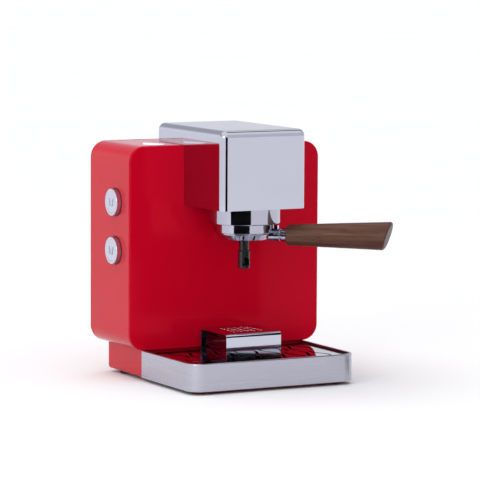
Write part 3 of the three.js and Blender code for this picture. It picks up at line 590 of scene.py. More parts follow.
def merged(*parts):
    """One bmesh holding all parts as separate closed shells."""
    whole = bmesh.new()
    for part in parts:
        mesh = bpy.data.meshes.new("merge")
        part.to_mesh(mesh)
        part.free()
        whole.from_mesh(mesh)
        bpy.data.meshes.remove(mesh)
    return whole


def raw_object(name, bm):
    mesh = bpy.data.meshes.new(name)
    bm.to_mesh(mesh)
    bm.free()
    made = bpy.data.objects.new(name, mesh)
    bpy.context.scene.collection.objects.link(made)
    return made


def mesh_of(made):
    bm = bmesh.new()
    bm.from_mesh(made.data)
    return bm


def bake_modifiers(made):
    """Applies every modifier."""
    graph = bpy.context.evaluated_depsgraph_get()
    mesh = bpy.data.meshes.new_from_object(made.evaluated_get(graph))
    old = made.data
    made.modifiers.clear()
    made.data = mesh
    bpy.data.meshes.remove(old)


def boolean(made, tools, operation="DIFFERENCE"):
    """Cuts or adds closed bmeshes."""
    cutters = [raw_object("cutter", tool) for tool in tools]
    for cutter in cutters:
        modifier = made.modifiers.new("cut", "BOOLEAN")
        modifier.object = cutter
        modifier.operation = operation
        modifier.solver = "EXACT"
    bake_modifiers(made)
    for cutter in cutters:
        bpy.data.objects.remove(cutter)


def bevel(made, width, segments=3, angle=SHARP):
    modifier = made.modifiers.new("bevel", "BEVEL")
    modifier.width = width
    modifier.segments = segments
    modifier.limit_method = "ANGLE"
    modifier.angle_limit = angle
    modifier.use_clamp_overlap = True
    bake_modifiers(made)


def settle(made, node, look=None, stands_for=None):
    """Turns a piece into the row frame, smooths its shading and hangs it on its body."""
    made.data.transform(TO_ROW)
    made.data.polygons.foreach_set("use_smooth", [True] * len(made.data.polygons))
    made.data.set_sharp_from_angle(angle=SHARP)
    modifier = made.modifiers.new("normals", "WEIGHTED_NORMAL")
    modifier.keep_sharp = True
    modifier.weight = 60
    bake_modifiers(made)
    slot = slot_of[node]
    made.data.materials.clear()
    made.data.materials.append(looks[look or slot])
    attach(made, body_of_node[node])
    if stands_for is None:
        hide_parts(node)
    elif stands_for:
        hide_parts(*stands_for)
    return made


def rod_x(radius, x0, x1, y, z, segments=64):
    return moved(
        lathe([(0, x0), (radius, x0), (radius, x1), (0, x1)], segments),
        Matrix.Translation((0, y, z)) @ Matrix.Rotation(math.pi / 2, 4, "Y"))


def rod_y(radius, y0, y1, x, z, segments=64):
    return moved(
        lathe([(0, y0), (radius, y0), (radius, y1), (0, y1)], segments),
        Matrix.Translation((x, 0, z)) @ Matrix.Rotation(-math.pi / 2, 4, "X"))


def rod_z(radius, z0, z1, x, y, segments=64):
    return moved(
        lathe([(0, z0), (radius, z0), (radius, z1), (0, z1)], segments), Matrix.Translation((x, y, 0)))

# ---------------- casing


def front_panel():
    made = raw_object("casing_front", prism(
        rounded(-CASE_HALF, CASE_LOW, CASE_HALF, CASE_HIGH, CASE_RADIUS, 16), "y", 0, PANEL + 0.25))
    bevel(made, 1.6, 4)
    settle(made, "front_panel")


def body_shell():
    front = PANEL + 0.3
    back = CASE_DEPTH - PANEL - 0.3
    made = raw_object("casing_wrap", prism(
        rounded(-CASE_HALF, CASE_LOW, CASE_HALF, CASE_HIGH, CASE_RADIUS, 16), "y", front, back))
    wall = CASE_WALL
    hollow = prism(
        rounded(-CASE_HALF + wall, CASE_LOW + wall, CASE_HALF - wall, CASE_HIGH - wall,
                CASE_RADIUS - wall, 16), "y", front - 5, back + 5)
    holes = [
        rod_x(BUTTON_RADIUS + 0.6, -CASE_HALF - 5, -CASE_HALF + 5, BUTTON_Y, z)
        for z in BUTTON_HEIGHTS.values()]
    lid_hole = prism(
        rounded(LID_LEFT - 0.7, LID_FRONT - 0.7, LID_RIGHT + 0.7, HINGE_Y + 3.1, 2.5, 6),
        "z", CASE_HIGH - 8, CASE_HIGH + 8)
    boolean(made, [hollow, lid_hole, *holes])
    settle(made, "body_shell")


BOSS = (CASE_RADIUS - 5) * math.sqrt(0.5)
BOSS_X = CASE_HALF - CASE_RADIUS + BOSS
BOSS_HEIGHTS = (CASE_LOW + CASE_RADIUS - BOSS, CASE_HIGH - CASE_RADIUS + BOSS)
BOSSES = [(side * BOSS_X, z) for z in BOSS_HEIGHTS for side in (-1, 1)]
INLET = (84, 72)
INLET_HALF = (13.5, 9.8)


def rear_cover():
    made = raw_object("casing_back", prism(
        rounded(-CASE_HALF, CASE_LOW, CASE_HALF, CASE_HIGH, CASE_RADIUS, 16),
        "y", CASE_DEPTH - PANEL - 0.25, CASE_DEPTH))
    bevel(made, 1.6, 4)
    slots = [
        prism(rounded(x, z, x + 28, z + 3, 1.45, 6), "y", 100, 120)
        for x in (-12, 24) for z in range(112, 160, 9)]
    holes = [rod_y(2.1, 100, 120, x, z, 32) for x, z in BOSSES]
    x, z = INLET
    half_x, half_z = INLET_HALF
    socket = prism(
        rounded(x - half_x - 0.3, z - half_z - 0.3, x + half_x + 0.3, z + half_z + 0.3, 1, 4),
        "y", 100, 120)
    boolean(made, [*slots, *holes, socket])
    settle(made, "rear_cover")


def rear_screws():
    head = CASE_DEPTH + 0.3
    profile = soften([
        (0, head + 1.8), (2.6, head + 1.8), (3.8, head + 0.8), (3.8, head), (1.5, head),
        (1.5, 100), (0, 100)], 0.35)
    for i, (x, z) in enumerate(BOSSES):
        turn = Matrix.Translation((x, 0, z)) @ Matrix.Rotation(-math.pi / 2, 4, "X")
        made = raw_object(f"rear_screw_look_{i + 1}", moved(lathe(profile, 48), turn))
        angle = 0.4 + 0.9 * i
        arms = [
            moved(block(-2.1, 2.1, head + 0.7, head + 3, -0.35, 0.35),
                  Matrix.Translation((x, 0, z)) @ Matrix.Rotation(angle + quarter, 4, "Y"))
            for quarter in (0, math.pi / 2)]
        boolean(made, arms)
        settle(made, f"rear_screw_{i + 1}")


PLINTH_RADIUS = 8
PLINTH_UNDER = 4.0
PLINTH_LIP = 6.5


def round_under(made, height, front, radius):
    """Rounds the lowest outer edges, except the one along the front."""
    bm = mesh_of(made)
    low_edges = [
        edge for edge in bm.edges
        if all(abs(vert.co.z - height) < 0.01 for vert in edge.verts)
        and not all(abs(vert.co.y - front) < 0.01 for vert in edge.verts)]
    bmesh.ops.bevel(bm, geom=low_edges, offset=radius, segments=7, profile=0.5, affect="EDGES")
    bm.to_mesh(made.data)
    bm.free()


def plinth():
    corners = [0, 0, PLINTH_RADIUS, PLINTH_RADIUS]
    outer = rounded(-BASE_HALF, BASE_FRONT, BASE_HALF, BASE_BACK, corners, 12)
    made = raw_object("plinth_look", prism(outer, "z", BASE_LOW, BASE_HIGH))
    round_under(made, BASE_LOW, BASE_FRONT, PLINTH_UNDER)
    above_lip = (BASE_WALL, PLINTH_RADIUS - BASE_WALL, BASE_LOW + PLINTH_UNDER + 0.6)
    through_lip = (PLINTH_LIP, 2, BASE_LOW - 5)
    hollows = []
    for wall, radius, low in (above_lip, through_lip):
        inner = rounded(
            -BASE_HALF + wall, BASE_FRONT + BASE_WALL, BASE_HALF - wall, BASE_BACK - wall,
            [0, 0, radius, radius], 12)
        hollows.append(prism(inner, "z", low, BASE_HIGH + 5))
    boolean(made, hollows)
    bevel(made, 0.5, 2)
    settle(made, "plinth")


FEET = [(-92, -108), (92, -108), (-97, 74), (97, 74)]


def base_plate():
    inset = 8
    front = TRAY_RADIUS - inset
    outer = rounded(
        -BASE_HALF + inset, TRAY_FRONT + inset, BASE_HALF - inset, BASE_BACK - inset,
        [front, front, 6, 6], 10)
    made = raw_object("base_plate_look", prism(outer, "z", 2.4, 3.9))
    boolean(made, [rod_z(3.3, 0, 8, x, y, 32) for x, y in FEET])
    bevel(made, 0.3, 2)
    settle(made, "base_plate")


def feet():
    profile = soften([
        (0, 0), (6, 0), (6, 0.35), (7, 0.35), (7, 0), (8.4, 0), (9, 0.8), (9, 2.1), (2.9, 2.1),
        (2.9, 4.2), (4.1, 4.2), (3, 5.4), (0, 5.4)], 0.3)
    for i, (x, y) in enumerate(FEET):
        made = raw_object(f"foot_look_{i + 1}", moved(lathe(profile, 48), Matrix.Translation((x, y, 0))))
        settle(made, f"foot_{i + 1}")


front_panel()
body_shell()
rear_cover()
rear_screws()
plinth()
base_plate()
feet()

# ---------------- drip tray


def tray_path(half, front, radius, back):
    """Level path round the tray's outer face, left rear to right rear, with its outward normals."""
    path = [(-half, back, -1, 0)]
    for x, start in ((-half + radius, 180), (half - radius, 270)):
        for px, py in arc(x, front + radius, radius, start, start + 90, 18):
            outward = Vector((px - x, py - front - radius)).normalized()
            path.append((px, py, outward.x, outward.y))
    path.append((half, back, 1, 0))
    return path


def tray_fascia():
    wall = 1.6
    section = soften([
        (0, BASE_LOW, 0.4), (0, TRAY_HIGH, 2.0), (-TRAY_RIM, TRAY_HIGH, 0.5),
        (-TRAY_RIM, TRAY_HIGH - 1.4, 0.3), (-wall, TRAY_HIGH - 1.4, 0.2), (-wall, BASE_LOW, 0.3)],
        0.4, closed=True)
    path = tray_path(BASE_HALF, TRAY_FRONT, TRAY_RADIUS, BASE_FRONT - 0.3)
    settle(raw_object("tray_fascia_look", sweep(path, section)), "tray_fascia")


def drip_pan():
    half = 109.6
    front = -128.5
    back = 4.4
    corner = 15.8
    low = 6.3
    high = 33.6
    wall = 1.6
    ledge = 6

    def inside(inset):
        radius = corner - inset
        return rounded(
            -half + inset, front + inset, half - inset, back - inset, [radius, radius, 1.5, 1.5], 12)

    made = raw_object("drip_pan_look", prism(inside(0), "z", low, high))
    hollow = prism(inside(wall), "z", low + wall, high - wall)
    mouth = prism(inside(ledge), "z", high - 4, 40)
    boolean(made, [hollow, mouth])
    runners = [block(x, x + 4, -110, -4, BASE_LOW, low + 1) for x in (-60, 56)]
    boolean(made, [merged(*runners)], "UNION")
    bevel(made, 0.4, 2)
    settle(made, "drip_pan")


def ripple(x, y, length, swing, width, steps=28):
    """Closed outline of a long tapering wave running front to back, centred on x, y."""
    left = []
    right = []
    for i in range(steps + 1):
        t = i / steps
        half = width / 2 * math.sqrt(math.sin(math.pi * (0.02 + 0.96 * t)))
        wave = swing * math.sin(2 * math.pi * t)
        along = y + length * (t - 0.5)
        left.append((x + wave - half, along))
        right.append((x + wave + half, along))
    return right + left[::-1]


SLOT_PITCH = 17
SLOT_LENGTH = 54
SLOT_WIDTH = 4.2
SLOT_SWING = 4.2
SLOT_SHIFT = 3


def drip_plate():
    half = BASE_HALF - TRAY_RIM - 0.5
    front = TRAY_FRONT + TRAY_RIM + 0.5
    radius = TRAY_RADIUS - TRAY_RIM - 0.5
    made = raw_object("drip_plate_look", prism(
        rounded(-half, front, half, PLATE_BACK, [radius, radius, 2, 2], 12), "z", PLATE_LOW, PLATE_HIGH))
    slots = []
    for side, y in ((-1, front + 34), (1, front + 92)):
        for column in range(-5, 6):
            x = column * SLOT_PITCH + side * SLOT_SHIFT
            swing = SLOT_SWING if column % 2 else -SLOT_SWING
            outline = ripple(x, y, SLOT_LENGTH, swing, SLOT_WIDTH)
            slots.append(prism(outline, "z", PLATE_LOW - 3, PLATE_HIGH + 3))
    boolean(made, [merged(*slots)])
    bevel(made, 0.2, 1)
    settle(made, "drip_plate")


def cup_riser():
    bend = RISER_BEND
    inner = RISER_BEND - RISER_SHEET
    front, back, high = RISER_FRONT, RISER_BACK, RISER_HIGH
    outline = [(front, RISER_LOW), (front + RISER_SHEET, RISER_LOW)]
    outline += arc(front + bend, high - bend, inner, 180, 90, 12)
    outline += arc(back - bend, high - bend, inner, 90, 0, 12)
    outline += [(back - RISER_SHEET, RISER_LOW), (back, RISER_LOW)]
    outline += arc(back - bend, high - bend, bend, 0, 90, 12)
    outline += arc(front + bend, high - bend, bend, 90, 180, 12)
    made = raw_object("cup_riser_look", prism(outline, "x", -RISER_HALF, RISER_HALF))
    middle = (front + back) / 2
    drains = []
    for column in range(-2, 3):
        for row in range(-2, 3):
            size = 2.6 - 0.3 * math.hypot(column, row)
            drains.append(rod_z(size, high - 4, high + 4, column * 9, middle + row * 8.4, 4))
    boolean(made, [merged(*drains)])
    bevel(made, 0.12, 2)
    settle(made, "cup_riser")


tray_fascia()
drip_pan()
drip_plate()
cup_riser()

# ---------------- brewing head


def head_cover():
    """L-shaped hood: deep in front of the casing, shallow on top of it."""
    step = CASE_HIGH + 0.3
    rear = -0.3
    low = HEAD_LOW
    half = HEAD_HALF
    bm = bmesh.new()
    profile = [
        (HEAD_FRONT, low), (rear, low), (rear, step), (HEAD_BACK, step), (HEAD_BACK, HEAD_HIGH),
        (HEAD_FRONT, HEAD_HIGH)]
    left = [bm.verts.new((-half, y, z)) for y, z in profile]
    right = [bm.verts.new((half, y, z)) for y, z in profile]
    bm.faces.new(left)
    bm.faces.new(right)
    open_sides = (0, 1, 2)
    for i in range(len(profile)):
        j = (i + 1) % len(profile)
        if i not in open_sides:
            bm.faces.new((left[i], left[j], right[j], right[i]))
    bmesh.ops.recalc_face_normals(bm, faces=bm.faces)
    weight = bm.edges.layers.float.new("bevel_weight_edge")
    for edge in bm.edges:
        if len(edge.link_faces) < 2:
            continue
        a, b = (vert.co for vert in edge.verts)
        along_top = abs(a.z - HEAD_HIGH) < 1e-6 and abs(b.z - HEAD_HIGH) < 1e-6
        runs_back = abs(a.y - b.y) > 1
        edge[weight] = 1.0 if along_top and runs_back else HEAD_EDGE / HEAD_TOP_RADIUS
    made = raw_object("head_cover_look", bm)
    modifier = made.modifiers.new("bevel", "BEVEL")
    modifier.width = HEAD_TOP_RADIUS
    modifier.limit_method = "WEIGHT"
    modifier.segments = 10
    thick = made.modifiers.new("sheet", "SOLIDIFY")
    thick.thickness = HEAD_SHEET
    thick.offset = -1
    bake_modifiers(made)
    settle(made, "head_cover")


def head_floor():
    half = HEAD_HALF - HEAD_SHEET - 0.2
    front = HEAD_FRONT + HEAD_SHEET + 0.2
    corner = HEAD_EDGE - HEAD_SHEET
    made = raw_object("head_floor_look", prism(
        rounded(-half, front, half, -0.3, [corner, corner, 0, 0], 8), "z", HEAD_LOW, HEAD_LOW + 1.5))
    boolean(made, [rod_z(RING_BORE + 0.5, HEAD_LOW - 5, HEAD_LOW + 5, 0, GROUP_Y, 96)])
    settle(made, "head_floor")


def sector(inner, outer, direction, sweep_angle, low, high):
    start = math.degrees(direction) - sweep_angle / 2
    outline = arc(0, 0, outer, start, start + sweep_angle, 12)
    outline += arc(0, 0, inner, start + sweep_angle, start, 12)
    return prism(outline, "z", low, high)


def group_ring():
    profile = [
        (RING_BORE, RING_LOW, 0.3), (RING_RADIUS, RING_LOW, 1.2), (RING_RADIUS, RING_HIGH, 0.2),
        (RING_BORE, RING_HIGH, 0.2), (RING_BORE, GROOVE_HIGH, 0.2), (GROOVE_RADIUS, GROOVE_HIGH, 0.2),
        (GROOVE_RADIUS, GROOVE_LOW, 0.2), (RING_BORE, GROOVE_LOW, 0.2)]
    made = raw_object("group_ring_look", lathe(soften(profile, 0.3, closed=True), 128, closed=True))
    notches = [
        sector(RING_BORE - 2, GROOVE_RADIUS, side * math.pi / 2 - HANDLE_ANGLE - UNLOCK, EAR_SWEEP + 4,
               RING_LOW - 1, GROOVE_LOW + 0.5)
        for side in (-1, 1)]
    boolean(made, notches)
    made.data.transform(Matrix.Translation((0, GROUP_Y, 0)))
    settle(made, "group_ring", look="painted_shade_chrome")


head_cover()
head_floor()
group_ring()

# ---------------- portafilter

TURN = Matrix.Translation((0, GROUP_Y, 0)) @ Matrix.Rotation(-HANDLE_ANGLE, 4, "Z")
GRIP = TURN @ Matrix.Translation((HANDLE_START, 0, HANDLE_Z)) @ Matrix.Rotation(-HANDLE_TILT, 4, "Y")
LYING = Matrix.Rotation(math.pi / 2, 4, "Y")
GRIP_LENGTH = HANDLE_END - HANDLE_START
CAP_POCKET = 1.7
CAP_RIM = 2.8
HANDLE_ROUND = 2.7


def portafilter_cup():
    inner = BASKET_RADIUS + 0.4
    floor = 181
    profile = [
        (4.2, CUP_LOW, 0.4), (28.8, CUP_LOW, 3.0), (34.2, 181.4, 2.5), (34.0, CUP_STEP - 0.4, 0.3),
        (CUP_RADIUS, CUP_STEP, 0.8), (CUP_RADIUS, CUP_HIGH, 0.5),
        (inner, CUP_HIGH, 0.4), (inner, floor, 1.8), (9, 179.6, 2.0), (4.2, 179.6, 0.4)]
    softened = soften(profile, 0.5, closed=True, steps=6)
    made = raw_object("portafilter_cup", lathe(softened, 160, closed=True))
    ears = [
        sector(CUP_RADIUS - 1, EAR_RADIUS, side * math.pi / 2, EAR_SWEEP, GROOVE_LOW + 0.3, CUP_HIGH - 0.3)
        for side in (-1, 1)]
    end = HANDLE_START - 0.3
    neck_profile = soften([
        (0, 32), (8.4, 32), (7.6, 38.0, 1.2), (7.4, 44.6, 0.4), (6.9, 45.2, 0.3), (6.9, 46.4, 0.3),
        (8.0, 47.2, 0.5), (8.0, end, 0.6), (0, end)], 0.3)
    neck = moved(lathe(neck_profile, 64), Matrix.Translation((0, 0, HANDLE_Z)) @ LYING)
    fin = prism(rounded(38.6, HANDLE_Z, 42.3, RING_LOW - 1.3, [0, 0, 1.8, 1.8], 8), "y", -4, 4)
    boolean(made, [*ears, neck, fin], "UNION")
    bore = moved(rod_x(4.6, 42, end + 5, 0, 0, 32), Matrix.Translation((0, 0, HANDLE_Z)))
    boolean(made, [bore])
    bevel(made, 0.5, 3, math.radians(55))
    made.data.transform(TURN)
    settle(made, "portafilter_body", look="painted_shade_chrome")


def filter_basket():
    outer = BASKET_RADIUS
    rim = 34.5
    high = CUP_HIGH + 0.3
    profile = [
        (0, 183.2), (outer - 1.6, 183.2, 1.5), (outer, 185, 0.5), (outer, high, 0.2), (rim, high, 0.3),
        (rim, high + 0.7, 0.3), (outer - 0.8, high + 0.7, 0.5), (outer - 0.8, 185.4, 0.8),
        (outer - 2, 184, 0.6), (0, 184)]
    made = raw_object("filter_basket_look", moved(lathe(soften(profile, 0.3), 96), TURN))
    settle(made, "filter_basket")


def spout():
    low = SPOUT_LOW
    pipe = 6.2
    top = CUP_LOW - 0.3
    profile = [
        (0, low), (6.7, low, 0.4), (7.4, low + 1, 0.4), (7.4, 159, 0.8), (pipe, 161, 0.6),
        (pipe, top, 0.4), (3.8, top, 0.2), (3.8, 178.6, 0.4), (0, 178.6)]
    made = raw_object("spout_look", lathe(soften(profile, 0.4), 64))
    half = 4.4
    sill = 141.6
    arch = 147.6
    window = prism(arc(0, arch, half, 0, 180, 20) + [(-half, sill), (half, sill)], "y", -12, 0)
    boolean(made, [rod_z(2.4, 150, 190, 0, 0, 24), rod_z(5.6, low - 2, 156, 0, 0, 48), window])
    bevel(made, 0.25, 2, math.radians(50))
    made.data.transform(TURN @ Matrix.Rotation(HANDLE_ANGLE - math.radians(7), 4, "Z"))
    settle(made, "spout", look="spout_plastic")


def lean_end(bm, start):
    """Leans the end face over; the lean grows from nothing at start to the full slant at the end."""
    for vert in bm.verts:
        share = min(1, max(0, (vert.co.x - start) / (GRIP_LENGTH - start)))
        vert.co.x += vert.co.z * math.tan(HANDLE_SLANT) * share
    return bm


def end_disc(radius, low, high):
    """Oval plug square to the slanted end face, reaching from depth high to low."""
    stretch = Matrix.Diagonal((1, 1, 1 / math.cos(HANDLE_SLANT), 1))
    tilt = Matrix.Translation((GRIP_LENGTH, 0, 0)) @ Matrix.Rotation(HANDLE_SLANT, 4, "Y")
    return moved(rod_x(radius, -high, -low, 0, 0, 96), tilt @ stretch)


def handle():
    profile = [(0, 0), (HANDLE_THIN - 1.2, 0), (HANDLE_THIN, 1.2)]
    steps = 24
    for i in range(1, steps + 1):
        t = i / steps
        radius = HANDLE_THIN + (HANDLE_THICK - HANDLE_THIN) * t ** 0.9
        profile.append((radius, (GRIP_LENGTH - HANDLE_ROUND) * t))
    middle = (HANDLE_THICK - HANDLE_ROUND, GRIP_LENGTH - HANDLE_ROUND)
    profile += arc(*middle, HANDLE_ROUND, 0, 90, 7)[1:]
    profile.append((0, GRIP_LENGTH))
    grip = lean_end(moved(lathe(profile, 128), LYING), GRIP_LENGTH * 0.6)
    made = raw_object("walnut_grip", grip)
    bore = rod_x(4.3, -5, 45, 0, 0, 32)
    boolean(made, [end_disc(HANDLE_THICK - CAP_RIM, -1, CAP_POCKET), bore])
    made.data.transform(GRIP)
    settle(made, "handle")


def handle_end_cap():
    made = raw_object("grip_end_plate", end_disc(HANDLE_THICK - CAP_RIM - 0.3, 0.1, CAP_POCKET - 0.3))
    bevel(made, 0.4, 3, math.radians(45))
    made.data.transform(GRIP)
    settle(made, "handle_end_cap")


portafilter_cup()
filter_basket()
spout()
handle()
handle_end_cap()

# ---------------- buttons


def button(place, z):
    left = -CASE_HALF - BUTTON_PROUD
    flange = -CASE_HALF + CASE_WALL + 0.3
    stem = flange + 8.5
    radius = BUTTON_RADIUS
    profile = [
        (0, left + 0.5), (radius - 3.2, left + 0.5, 0.4), (radius - 2.6, left, 0.4), (radius, left, 0.8),
        (radius, flange, 0.1), (radius + 2.3, flange, 0.2), (radius + 2.3, flange + 1.8, 0.2),
        (5, flange + 1.8, 0.2), (5, stem, 0.3), (0, stem)]
    seat = Matrix.Translation((0, BUTTON_Y, z)) @ LYING
    made = raw_object(f"button_{place}_look", moved(lathe(soften(profile, 0.3), 96), seat))
    settle(made, f"button_{place}", look="painted_sheen_chrome")
    # Thin black ring round the button's foot on the casing: a painted shadow of the gap under the button.
    gap_shadow_profile = soften([
        (radius + 0.15, 0), (radius + 1.0, 0, 0.2), (radius + 1.0, -0.6, 0.3), (radius + 0.15, -0.6, 0.2)],
        0.2, closed=True)
    side = Matrix.Translation((-CASE_HALF, BUTTON_Y, z)) @ LYING
    painted_gap_shadow = raw_object(f"button_{place}_seal", moved(lathe(gap_shadow_profile, 96, closed=True), side))
    settle(painted_gap_shadow, "body_shell", look="rubber", stands_for=())
    lines = [[(-5.4, 4.6), (-3.4, -4.4), (3.4, -4.4), (5.4, 4.6)]]
    levels = (1.2,) if place == "upper" else (1.2, -1.2)
    lines += [[(-3.4, level), (3.4, level)] for level in levels]
    icon_parts = []
    for line, thick in zip(lines, (0.5, 0.25, 0.25)):
        points = [(left + 0.47, BUTTON_Y - u, z + v) for u, v in line]
        icon_parts.append(tube(points, thick, 8))
    icon = raw_object(f"button_{place}_cup_sign", merged(*icon_parts))
    settle(icon, f"button_{place}", look="engraving", stands_for=())


for place, height in BUTTON_HEIGHTS.items():
    button(place, height)

# ---------------- water tank


def taken_mesh(made):
    """Mesh of a piece that becomes part of another; the piece itself goes."""
    bm = mesh_of(made)
    bpy.data.objects.remove(made)
    return bm


def hinge_bore():
    return rod_x(PIN_HOLE, -100, -66, HINGE_Y, HINGE_Z, 32)


def tank_lid():
    thickness = 1.8
    low = CASE_HIGH - thickness
    made = raw_object("tank_lid_look", prism(
        rounded(LID_LEFT, LID_FRONT, LID_RIGHT, HINGE_Y, [2.2, 2.2, 0.4, 0.4], 6), "z", low, CASE_HIGH))
    notches = [
        block(x0 - 0.4, x1 + 0.4, HINGE_Y - 4, HINGE_Y + 5, low - 5, CASE_HIGH + 5)
        for x0, x1 in EAR_SPANS]
    boolean(made, notches)
    bevel(made, 0.4, 2)
    boolean(made, [hinge_bore()])
    skirt = raw_object("lid_skirt", block(-96, -71, 20, 92, 278, low + 0.2))
    boolean(skirt, [block(-94, -73, 22, 90, 275, low)])
    bevel(skirt, 0.4, 2)
    barrel = raw_object("lid_barrel", rod_x(2, *BARREL_SPAN, HINGE_Y, HINGE_Z, 32))
    boolean(barrel, [hinge_bore()])
    mesh = merged(mesh_of(made), taken_mesh(skirt), taken_mesh(barrel))
    mesh.to_mesh(made.data)
    mesh.free()
    settle(made, "tank_lid")
    radius = 13.5
    sign_x = (LID_LEFT + LID_RIGHT) / 2
    drop = [(sign_x - u, 27 - v) for u, v in arc(0, 0, radius, -35, 215, 32)]
    drop.append((sign_x, 27 + 2.1 * radius))
    sign = raw_object("tank_lid_drop_sign", prism(drop, "z", CASE_HIGH, CASE_HIGH + 0.06))
    settle(sign, "tank_lid", look="white_print", stands_for=())


def water_tank():
    left, front, right, back = -102, 10.5, -65, 102.8
    low = 58
    high = 281
    wall = 2
    made = raw_object("water_tank_look", prism(rounded(left, front, right, back, 5, 10), "z", low, high))
    inner = rounded(left + wall, front + wall, right - wall, back - wall, 3, 10)
    outlet = rod_z(5.2, low - 2, low + 5, -83.5, 56, 48)
    boolean(made, [prism(inner, "z", low + wall, high + 5), outlet])
    for x0, x1 in EAR_SPANS:
        ear = block(x0, x1, HINGE_Y - 2, HINGE_Y + 1.8, high - 14, HINGE_Z)
        boolean(made, [ear, rod_x(2, x0, x1, HINGE_Y, HINGE_Z, 32)], "UNION")
    boolean(made, [rod_x(1.1, -100, -66, HINGE_Y, HINGE_Z, 24)])
    bevel(made, 0.4, 2, math.radians(50))
    settle(made, "water_tank")


def power_inlet():
    x, z = INLET
    half_x, half_z = INLET_HALF
    face = CASE_DEPTH
    core = block(x - half_x, x + half_x, 86, face + 1, z - half_z, z + half_z)
    made = raw_object("power_inlet_look", core)
    flange = prism(
        rounded(x - half_x - 4, z - half_z - 3, x + half_x + 4, z + half_z + 3, 3, 8),
        "y", face + 0.3, face + 2.5)
    boolean(made, [flange], "UNION")
    chamfer = 4.5
    shape = [
        (x - 11.9, z - 7.8), (x + 11.9, z - 7.8),
        (x + 11.9, z + 7.8 - chamfer), (x + 11.9 - chamfer, z + 7.8),
        (x - 11.9 + chamfer, z + 7.8), (x - 11.9, z + 7.8 - chamfer)]
    boolean(made, [prism(shape, "y", 89, face + 10)])
    blades = [
        block(x + dx - 1, x + dx + 1, 87, 105, z + dz - 2, z + dz + 2)
        for dx, dz in ((0, 3.6), (-7, -2.4), (7, -2.4))]
    boolean(made, [merged(*blades)], "UNION")
    bevel(made, 0.3, 2)
    settle(made, "power_inlet")


tank_lid()
water_tank()
power_inlet()

# ---------------- stage, light and world


def stage_plane(name, centre, across, up, width, height, material):
    """Flat stage card in the row frame; across and up are unit vectors, sizes in metres."""
    bm = bmesh.new()
    corners = [(-1, -1), (1, -1), (1, 1), (-1, 1)]
    middle = Vector(centre)
    verts = [
        bm.verts.new(middle + Vector(across) * width / 2 * i + Vector(up) * height / 2 * j)
        for i, j in corners]
    bm.faces.new(verts)
    card = raw_object(name, bm)
    card.data.materials.append(material)
    return card


def flag(name, centre, across, up, width, height):
    """Black card that only reflections show."""
    card = stage_plane(name, centre, across, up, width, height, looks["black_flag"])
    card.visible_camera = False
    card.visible_diffuse = False
    card.visible_shadow = False
    card.visible_transmission = False


def upright_flag(name, start, end, low, high):
    """Flag standing on end, from start to end in plan."""
    middle = (low + high) / 2
    first = TO_ROW @ Vector((*start, middle))
    last = TO_ROW @ Vector((*end, middle))
    run = last - first
    flag(name, (first + last) / 2, run.normalized(), (0, 0, 1), run.length, (high - low) / 1000)


def make_stage():
    stage_plane("floor", (0, 0, 0), (1, 0, 0), (0, 1, 0), 80, 80, looks["studio_floor"])
    upright_flag("side_flag", (-56, -106), (-30, -245), 130, 305)
    upright_flag("group_flag", (-60, -86), (-56, -106), 130, 212)
    low_middle = TO_ROW @ Vector((56, -181, 102))
    flag("low_flag", low_middle, (0.883, 0.469, 0), (0, 0, 1), 0.16, 0.105)
    counter_middle = TO_ROW @ Vector((252, -235, 2))
    flag("counter_flag", counter_middle, (1, 0, 0), (0, 1, 0), 0.13, 0.19)


def area_light(name, place, target, size, power, colour=(1, 1, 1)):
    data = bpy.data.lights.new(name, "AREA")
    data.shape = "RECTANGLE"
    data.size, data.size_y = size
    data.energy = power
    data.color = colour
    lamp = bpy.data.objects.new(name, data)
    lamp.location = place
    lamp.rotation_mode = "QUATERNION"
    lamp.rotation_quaternion = (Vector(target) - Vector(place)).to_track_quat("-Z", "Y")
    bpy.context.scene.collection.objects.link(lamp)
    return lamp


def sky_light(name, towards, strength, spread):
    """Very soft light from high above."""
    data = bpy.data.lights.new(name, "SUN")
    data.energy = strength
    data.angle = math.radians(spread)
    lamp = bpy.data.objects.new(name, data)
    lamp.rotation_mode = "QUATERNION"
    lamp.rotation_quaternion = Vector(towards).to_track_quat("-Z", "Y")
    lamp.visible_glossy = False
    bpy.context.scene.collection.objects.link(lamp)
    return lamp


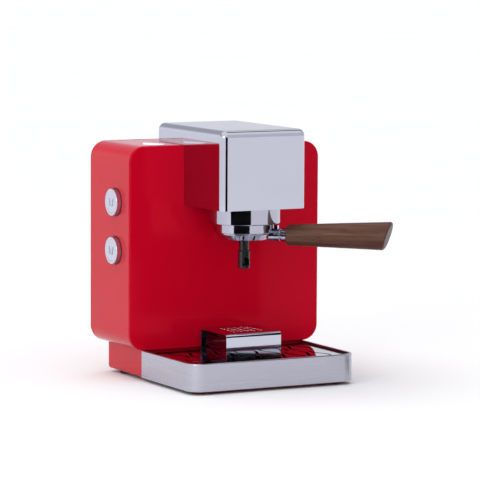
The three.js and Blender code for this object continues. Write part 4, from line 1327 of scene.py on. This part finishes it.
class Sky:
    """World shader built from the direction looked in."""

    def __init__(self):
        world = bpy.data.worlds.new("studio")
        bpy.context.scene.world = world
        world.use_nodes = True
        self.tree = world.node_tree
        self.ground = self.tree.nodes["Background"]
        where = self.tree.nodes.new("ShaderNodeTexCoord")
        parts = self.tree.nodes.new("ShaderNodeSeparateXYZ")
        self.tree.links.new(where.outputs["Generated"], parts.inputs["Vector"])
        self.x, self.y, self.z = (parts.outputs[axis] for axis in "XYZ")

    def step(self, value, low, high):
        node = self.tree.nodes.new("ShaderNodeMapRange")
        node.interpolation_type = "SMOOTHSTEP"
        node.inputs["From Min"].default_value = low
        node.inputs["From Max"].default_value = high
        self.tree.links.new(value, node.inputs["Value"])
        return node.outputs["Result"]

    def times(self, a, b):
        node = self.tree.nodes.new("ShaderNodeMath")
        node.operation = "MULTIPLY"
        self.tree.links.new(a, node.inputs[0])
        self.tree.links.new(b, node.inputs[1])
        return node.outputs["Value"]

    def between(self, value, low, high, soft):
        """One inside low..high, nought outside."""
        rising = self.step(value, low - soft, low + soft)
        falling = self.step(value, high + soft, high - soft)
        return self.times(rising, falling)

    def mix(self, factor, a, b):
        node = self.tree.nodes.new("ShaderNodeMix")
        node.data_type = "RGBA"
        self.tree.links.new(factor, node.inputs[0])
        for socket, value in ((node.inputs[6], a), (node.inputs[7], b)):
            if isinstance(value, tuple):
                socket.default_value = (*value, 1)
            else:
                self.tree.links.new(value, socket)
        return node.outputs[2]


def make_world():
    sky = Sky()
    bright = (1.05, 1.05, 1.07)
    grey = (0.74, 0.75, 0.80)
    dim = (0.50, 0.51, 0.57)
    dark = (0.08, 0.07, 0.08)
    sides = sky.mix(sky.step(sky.x, -0.42, 0.05), bright, grey)
    behind = sky.step(sky.y, 0.0, 0.3)
    haze = sky.times(sky.between(sky.z, 0.30, 0.62, 0.14), behind)
    with_haze = sky.mix(haze, sides, dim)
    overhead = sky.mix(sky.step(sky.z, 0.60, 0.80), with_haze, bright)
    beam = sky.times(sky.between(sky.y, 0.0, 0.26, 0.05), sky.step(sky.x, 0.25, 0.35))
    high_beam = sky.times(beam, sky.step(sky.z, 0.60, 0.70))
    whole = sky.mix(high_beam, overhead, dark)
    sky.tree.links.new(whole, sky.ground.inputs["Color"])
    sky.ground.inputs["Strength"].default_value = 1.0


make_stage()
make_world()
sky_light("sky_light", (0.20, -0.26, -1), 1.30, 60)
area_light("front_left_softbox", (-1.83, -1.21, 0.85), (0, 0, 0.16), (0.7, 0.8), 10)

view = bpy.context.scene.view_settings
view.view_transform = "Standard"
view.look = "None"
